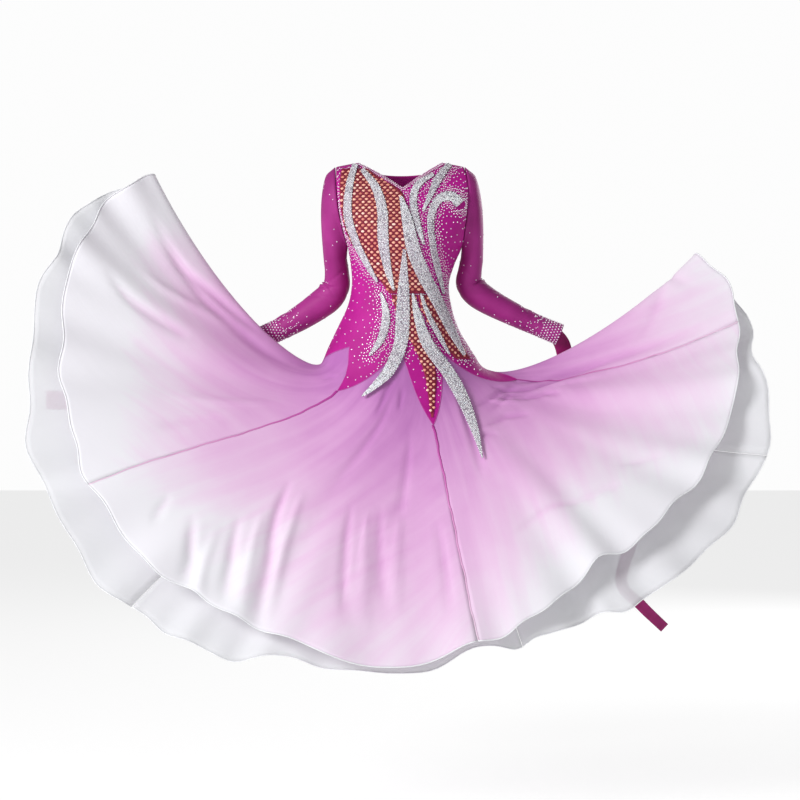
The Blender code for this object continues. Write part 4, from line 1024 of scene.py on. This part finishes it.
for node, table in BANDS.items():
    length = sum(math.dist(a[:2], b[:2]) for a, b in zip(table, table[1:]))
    stations = int(length / 0.003)
    share = np.linspace(0.0, 1.0, stations)
    line = line_table(table, share)
    ahead = line_table(table, np.minimum(share + 0.02, 1.0)) \
        - line_table(table, np.maximum(share - 0.02, 0.0))
    across = np.stack((-ahead[:, 1], ahead[:, 0]), axis=1)
    across /= np.hypot(ahead[:, 0], ahead[:, 1])[:, None]
    band_lines.append(line)
    offset = np.linspace(-0.5, 0.5, 5)[None] * line[:, 2:3]
    x, z = (line[:, k:k + 1] + across[:, k:k + 1] * offset for k in (0, 1))
    free = TAIL_LIFT if "tail" in node else 0.0
    grid = laid_grid(x, z, VELVET_WALL + BAND_OVER[node] + 0.0010, free)
    piece = sheet_mesh(node + "_strip", grid, SHELL, [band_cloth])
    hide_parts(node)
    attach(piece, "root")
    wide, long, area = BAND_CUTS[node]
    rows, columns = [], []
    steps = int(length * 1.02 / (BAND_STONE * 0.87))
    for s in range(steps):
        at = (s + 0.5) / steps
        width = float(np.interp(at, share, line[:, 2]))
        count = max(int(round((width - 0.0004) / BAND_STONE)), 1)
        place = (np.arange(count) + 0.5 + 0.5 * (s % 2 - 0.5) * (count > 1)) / count
        rows += [at * (stations - 1)] * count
        columns += list(np.clip(place, 0.02, 0.98) * 4)
    rows = np.array(rows) + rng.normal(0.0, 0.10, len(rows))
    columns = np.array(columns) + rng.normal(0.0, 0.05, len(columns))
    rows, columns = np.clip(rows, 0, stations - 1.001), np.clip(columns, 0.0, 3.999)
    out = on_grid(grid_normals(grid), rows, columns)
    out /= np.linalg.norm(out, axis=1)[:, None]
    piece = stone_setting(node + "_stones", crystal, on_grid(grid, rows, columns), out,
                          0.00165 * rng.uniform(0.75, 1.1, len(rows)), 0.0016, 0.0012, 6, rng)
    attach(piece, "root")


# Loose stones set on the velvet: close together beside the bands, fewer further out, with
# two rows that edge the neckline.
def band_distance(x, z):
    """Distance in front view from places to the nearest band's edge."""
    best = np.full(len(x), 9.0)
    for line in band_lines:
        away = np.hypot(x[:, None] - line[None, :, 0], z[:, None] - line[None, :, 1])
        best = np.minimum(best, (away - line[None, :, 2] / 2).min(axis=1))
    return best


def in_net(x, z):
    """Whether places in front view lie on a net."""
    inside = np.zeros(len(x), dtype=bool)
    for table in NETS.values():
        rows = line_table(table, np.linspace(0.0, 1.0, 60))
        left, right = (np.interp(-z, -rows[:, 0], rows[:, k]) for k in (1, 2))
        inside |= (z < rows[0, 0]) & (z > rows[-1, 0]) & (x > left - 0.002) & (x < right + 0.002)
    return inside


tries = 60000
z = rng.uniform(-0.62, -0.02, tries)
half, centre = torso_size("half", z), torso_size("centre", z)
arc = rng.uniform(-1.45, 1.45, tries)
x = centre + half * np.sin(arc)
away = band_distance(x, z)
keep = (away > 0.0016) & ~in_net(x, z)
x, z, arc, half, away = (values[keep] for values in (x, z, arc, half, away))
room = np.clip(0.0044 + 0.42 * np.maximum(away - 0.011, 0.0), 0.0044, 0.021)
flat = np.stack((arc * half, z), axis=1)
chosen, cells = [], {}
for n in np.argsort(room + rng.uniform(0.0, 0.004, len(room))):
    reach = int(math.ceil(room[n] / 0.0044))
    a, b = (int(v // 0.0044) for v in flat[n])
    near = [other for i in range(a - reach, a + reach + 1) for j in range(b - reach, b + reach + 1)
            for other in cells.get((i, j), ())]
    if all(math.hypot(*(flat[other] - flat[n])) > room[n] for other in near):
        cells.setdefault((a, b), []).append(n)
        chosen.append(n)
x, z = x[chosen], z[chosen]
turn, drop = find(x, z)
seam = np.interp(turn, HIP_SEAM[:, 0], HIP_SEAM[:, 1])
reach = np.abs(np.sin(np.radians(turn))) * TORSO["half"][0]
neck = np.where(reach < NECK_HALF, V_DEPTH * (1.0 - reach / NECK_HALF), 0.0)
keep = (drop < seam - 0.005) & (HIP_LINE - drop < -neck - 0.005) & (np.abs(turn) < 84)
turn, drop = turn[keep], drop[keep]
centres = cloth(turn, drop, VELVET_WALL + 0.0001)
spots = [(centres, outward(turn, drop))]
neck_turns = np.linspace(-41.5, 41.5, 60)
for depth in (0.0028, 0.0072):
    reach = np.abs(np.sin(np.radians(neck_turns))) * TORSO["half"][0]
    level = -V_DEPTH * (1.0 - np.minimum(reach / NECK_HALF, 1.0)) - depth
    rim = HIP_LINE - level
    spots.append((cloth(neck_turns, rim, VELVET_WALL + 0.0026), outward(neck_turns, rim)))
back = rng.uniform(95, 265, 150)
level = rng.uniform(-0.46, -0.06, 150)
drop = HIP_LINE - level
spots.append((cloth(back, drop, VELVET_WALL + 0.0001), outward(back, drop)))
centres, out = (np.concatenate([spot[k] for spot in spots]) for k in (0, 1))
piece = stone_setting("bodice_loose_stones", pale_stone, centres, out,
                      0.0017 * rng.uniform(0.70, 1.15, len(centres)), 0.0016, 0.0012, 6, rng)
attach(piece, "root")


# Seams between the gores: a narrow felled ridge, magenta at the hips and fading to lilac,
# and the rolled hems of both skirts with their thread inside.
seam_cloth = bpy.data.materials.new("seam_cloth")
tree, shader = nodes_of(seam_cloth)
colour_by(tree, shader, named_value(tree, "dye"), (
    (0.0, (0.38, 0.015, 0.26)), (0.3, (0.58, 0.12, 0.44)), (0.65, (0.76, 0.36, 0.64)),
    (1.0, (0.88, 0.66, 0.82))))
shader.inputs["Roughness"].default_value = 0.6
lines, radii, fades = [], [], []
for line, start in zip(seam_lines, (gore[1] for gore in GORES)):
    part = np.linspace(0.0, 1.0, len(line))
    drop = np.linspace(0.0, 1.0, len(line)) ** 1.25
    facing = outward(np.full(len(line), start), drop * skirt_length(start)[0])
    wander = 0.0010 * np.sin(part * 29.0 + start) + 0.0005 * np.sin(part * 73.0)
    side = np.cross(np.gradient(line, axis=0), facing)
    side /= np.linalg.norm(side, axis=1)[:, None]
    lines.append((line + side * wander[:, None] + facing * 0.0002, facing))
    radii.append(0.0014 + 0.0022 * (1.0 - part) ** 2)
    fades.append(part)
rim = np.linspace(-90.0, 270.0, 721)
drop = np.interp(rim, HIP_SEAM[:, 0], HIP_SEAM[:, 1])
lines.append((cloth(rim, drop, VELVET_WALL), outward(rim, drop)))
radii.append(np.full(len(rim), 0.0011))
fades.append(np.full(len(rim), 0.12))
piece = cord_mesh("gore_seams", lines, radii, 6, seam_cloth, fades, flat=0.25)
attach(piece, "root")

hem_cloth = plain_cloth("hem_cloth", (0.82, 0.83, 0.86), (0.90, 0.91, 0.93), 80.0, 0.5)
radii = [np.full(len(line), 0.0014 if n < len(GORES) else 0.0010)
         for n, (line, _) in enumerate(hem_lines)]
piece = cord_mesh("rolled_hems", hem_lines, radii, 6, hem_cloth)
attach(piece, "root")


# Floats: a long ribbon of dark magenta chiffon from each cuff, lying down the back of the
# skirt and coming out beyond its hem.
FLOATS = {
    "float_left": {
        "cut": (0.048, 0.67, 0.030),
        "wrist": ((-0.315, 0.0928, -0.409), (-0.330, 0.097, -0.436), (-0.348, 0.108, -0.466)),
        "over": ((250.0, 0.46), (250.0, 0.57), (249.0, 0.69), (247.0, 0.80), (244.5, 0.91),
                 (241.5, 1.02)),
        "end": ((-0.715, 0.275, -0.572), (-0.795, 0.270, -0.566), (-0.868, 0.262, -0.564)),
        "width": (0.034, 0.038, 0.040, 0.042, 0.044, 0.046, 0.048, 0.048, 0.048, 0.048, 0.046,
                  0.046),
    },
    "float_right": {
        "cut": (0.038, 0.95, 0.033),
        "wrist": ((0.369, 0.0829, -0.4055), (0.386, 0.088, -0.430), (0.396, 0.097, -0.462)),
        "over": ((108.5, 0.48), (111.0, 0.59), (114.5, 0.71), (118.5, 0.84), (122.0, 0.98)),
        "end": ((0.584, 0.410, -0.905), (0.556, 0.412, -1.020), (0.606, 0.410, -1.080),
                (0.664, 0.406, -1.136)),
        "width": (0.034, 0.038, 0.038, 0.038, 0.038, 0.037, 0.036, 0.034, 0.032, 0.030,
                  0.028, 0.026),
    },
}
chiffon = plain_cloth("chiffon", (0.26, 0.0, 0.10), (0.36, 0.004, 0.15), 40.0, 0.6)
for node, plan in FLOATS.items():
    behind = (0.0, 1.0, 0.0)
    turn, part = (np.array([row[k] for row in plan["over"]]) for k in (0, 1))
    drop = skirt_length(turn) * part
    over = np.concatenate((cloth(turn, drop, ORGANZA_WALL + 0.013), outward(turn, drop)), axis=1)
    route = [point + behind for point in plan["wrist"]] + [tuple(row) for row in over] \
        + [point + behind for point in plan["end"]]
    rows = [point + (width,) for point, width in zip(route, plan["width"])]
    share = np.linspace(0.0, 1.0, 130)
    line = line_table(rows, share)
    ahead = (line_table(rows, np.minimum(share + 0.02, 1.0))
             - line_table(rows, np.maximum(share - 0.02, 0.0)))[:, :3]
    across = np.cross(ahead, line[:, 3:6])
    across /= np.linalg.norm(across, axis=1)[:, None]
    facing = np.cross(across, ahead)
    facing /= np.linalg.norm(facing, axis=1)[:, None]
    off = np.linspace(-0.5, 0.5, 11)
    along = share[:, None]
    ripple = 0.0012 * np.sin(along * 46.0 + off[None] * 3.0) * np.sin(math.pi * along)
    grid = line[:, None, :3] + across[:, None] * (line[:, 6:7] * off)[:, :, None] \
        + facing[:, None] * (0.0012 + ripple)[:, :, None]
    piece = sheet_mesh(node + "_chiffon", grid, 0.0006, [chiffon])
    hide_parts(node)
    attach(piece, "root")
    wide, long, area = plan["cut"]


# Camera at the photograph's height and distance, pale floor, and soft studio light.
FLOOR, FLOOR_HALF = -1.485, 20.0
CAMERA_AWAY, CAMERA_HEIGHT, VIEW_WIDE, SENSOR = 6.0, -0.564, 1.88, 36.0
LIGHTS = (
    # name, place, size, power
    ("key_light", (-4.0, -3.6, 1.5), 2.4, 262.0),
    ("fill_light", (2.6, -5.0, 0.2), 3.0, 8.0),
    ("back_light", (2.8, 4.6, 1.4), 3.0, 120.0),
)
LIT_POINT = (0.0, 0.0, -0.6)
corners = [(x * FLOOR_HALF, y * FLOOR_HALF, FLOOR) for x, y in ((-1, -1), (1, -1), (1, 1), (-1, 1))]
floor = bpy.data.meshes.new("floor")
floor.from_pydata(corners, [], [(0, 1, 2, 3)])
floor = placed("floor", floor)
paper = bpy.data.materials.new("studio_paper")
_, shader = nodes_of(paper)
fill(shader, {"Base Color": (0.32, 0.32, 0.32, 1.0), "Roughness": 0.9,
              "Emission Color": (1.0, 1.0, 1.0, 1.0), "Emission Strength": 0.72})
floor.data.materials.append(paper)

bpy.context.scene.view_settings.view_transform = "Standard"
world = bpy.data.worlds.new("studio")
world.use_nodes = True
tree = world.node_tree
sky = tree.nodes["Background"]
fill(sky, {"Color": (1.0, 1.0, 1.0, 1.0), "Strength": 0.31})
paper_sky = tree.nodes.new("ShaderNodeBackground")
fill(paper_sky, {"Color": (1.0, 1.0, 1.0, 1.0), "Strength": 0.98})
seen = tree.nodes.new("ShaderNodeLightPath")
both = tree.nodes.new("ShaderNodeMixShader")
tree.links.new(seen.outputs["Is Camera Ray"], both.inputs["Fac"])
tree.links.new(sky.outputs["Background"], both.inputs[1])
tree.links.new(paper_sky.outputs["Background"], both.inputs[2])
tree.links.new(both.outputs["Shader"], tree.nodes["World Output"].inputs["Surface"])
bpy.context.scene.world = world
for name, place, size, power in LIGHTS:
    light = bpy.data.lights.new(name, "AREA")
    light.shape = "DISK"
    light.size = size
    light.energy = power
    lamp = bpy.data.objects.new(name, light)
    lamp.location = place
    way = [a - b for a, b in zip(LIT_POINT, place)]
    lamp.rotation_euler = (math.atan2(math.hypot(way[0], way[1]), -way[2]),
                           0.0, math.atan2(way[1], way[0]) - math.pi / 2)
    bpy.context.scene.collection.objects.link(lamp)

camera = bpy.data.cameras.new("camera")
camera.sensor_width = SENSOR
camera.lens = SENSOR * CAMERA_AWAY / VIEW_WIDE
eye = bpy.data.objects.new("camera", camera)
eye.location = (0.0, -CAMERA_AWAY, CAMERA_HEIGHT)
eye.rotation_euler = (math.pi / 2, 0.0, 0.0)
bpy.context.scene.collection.objects.link(eye)
bpy.context.scene.camera = eye
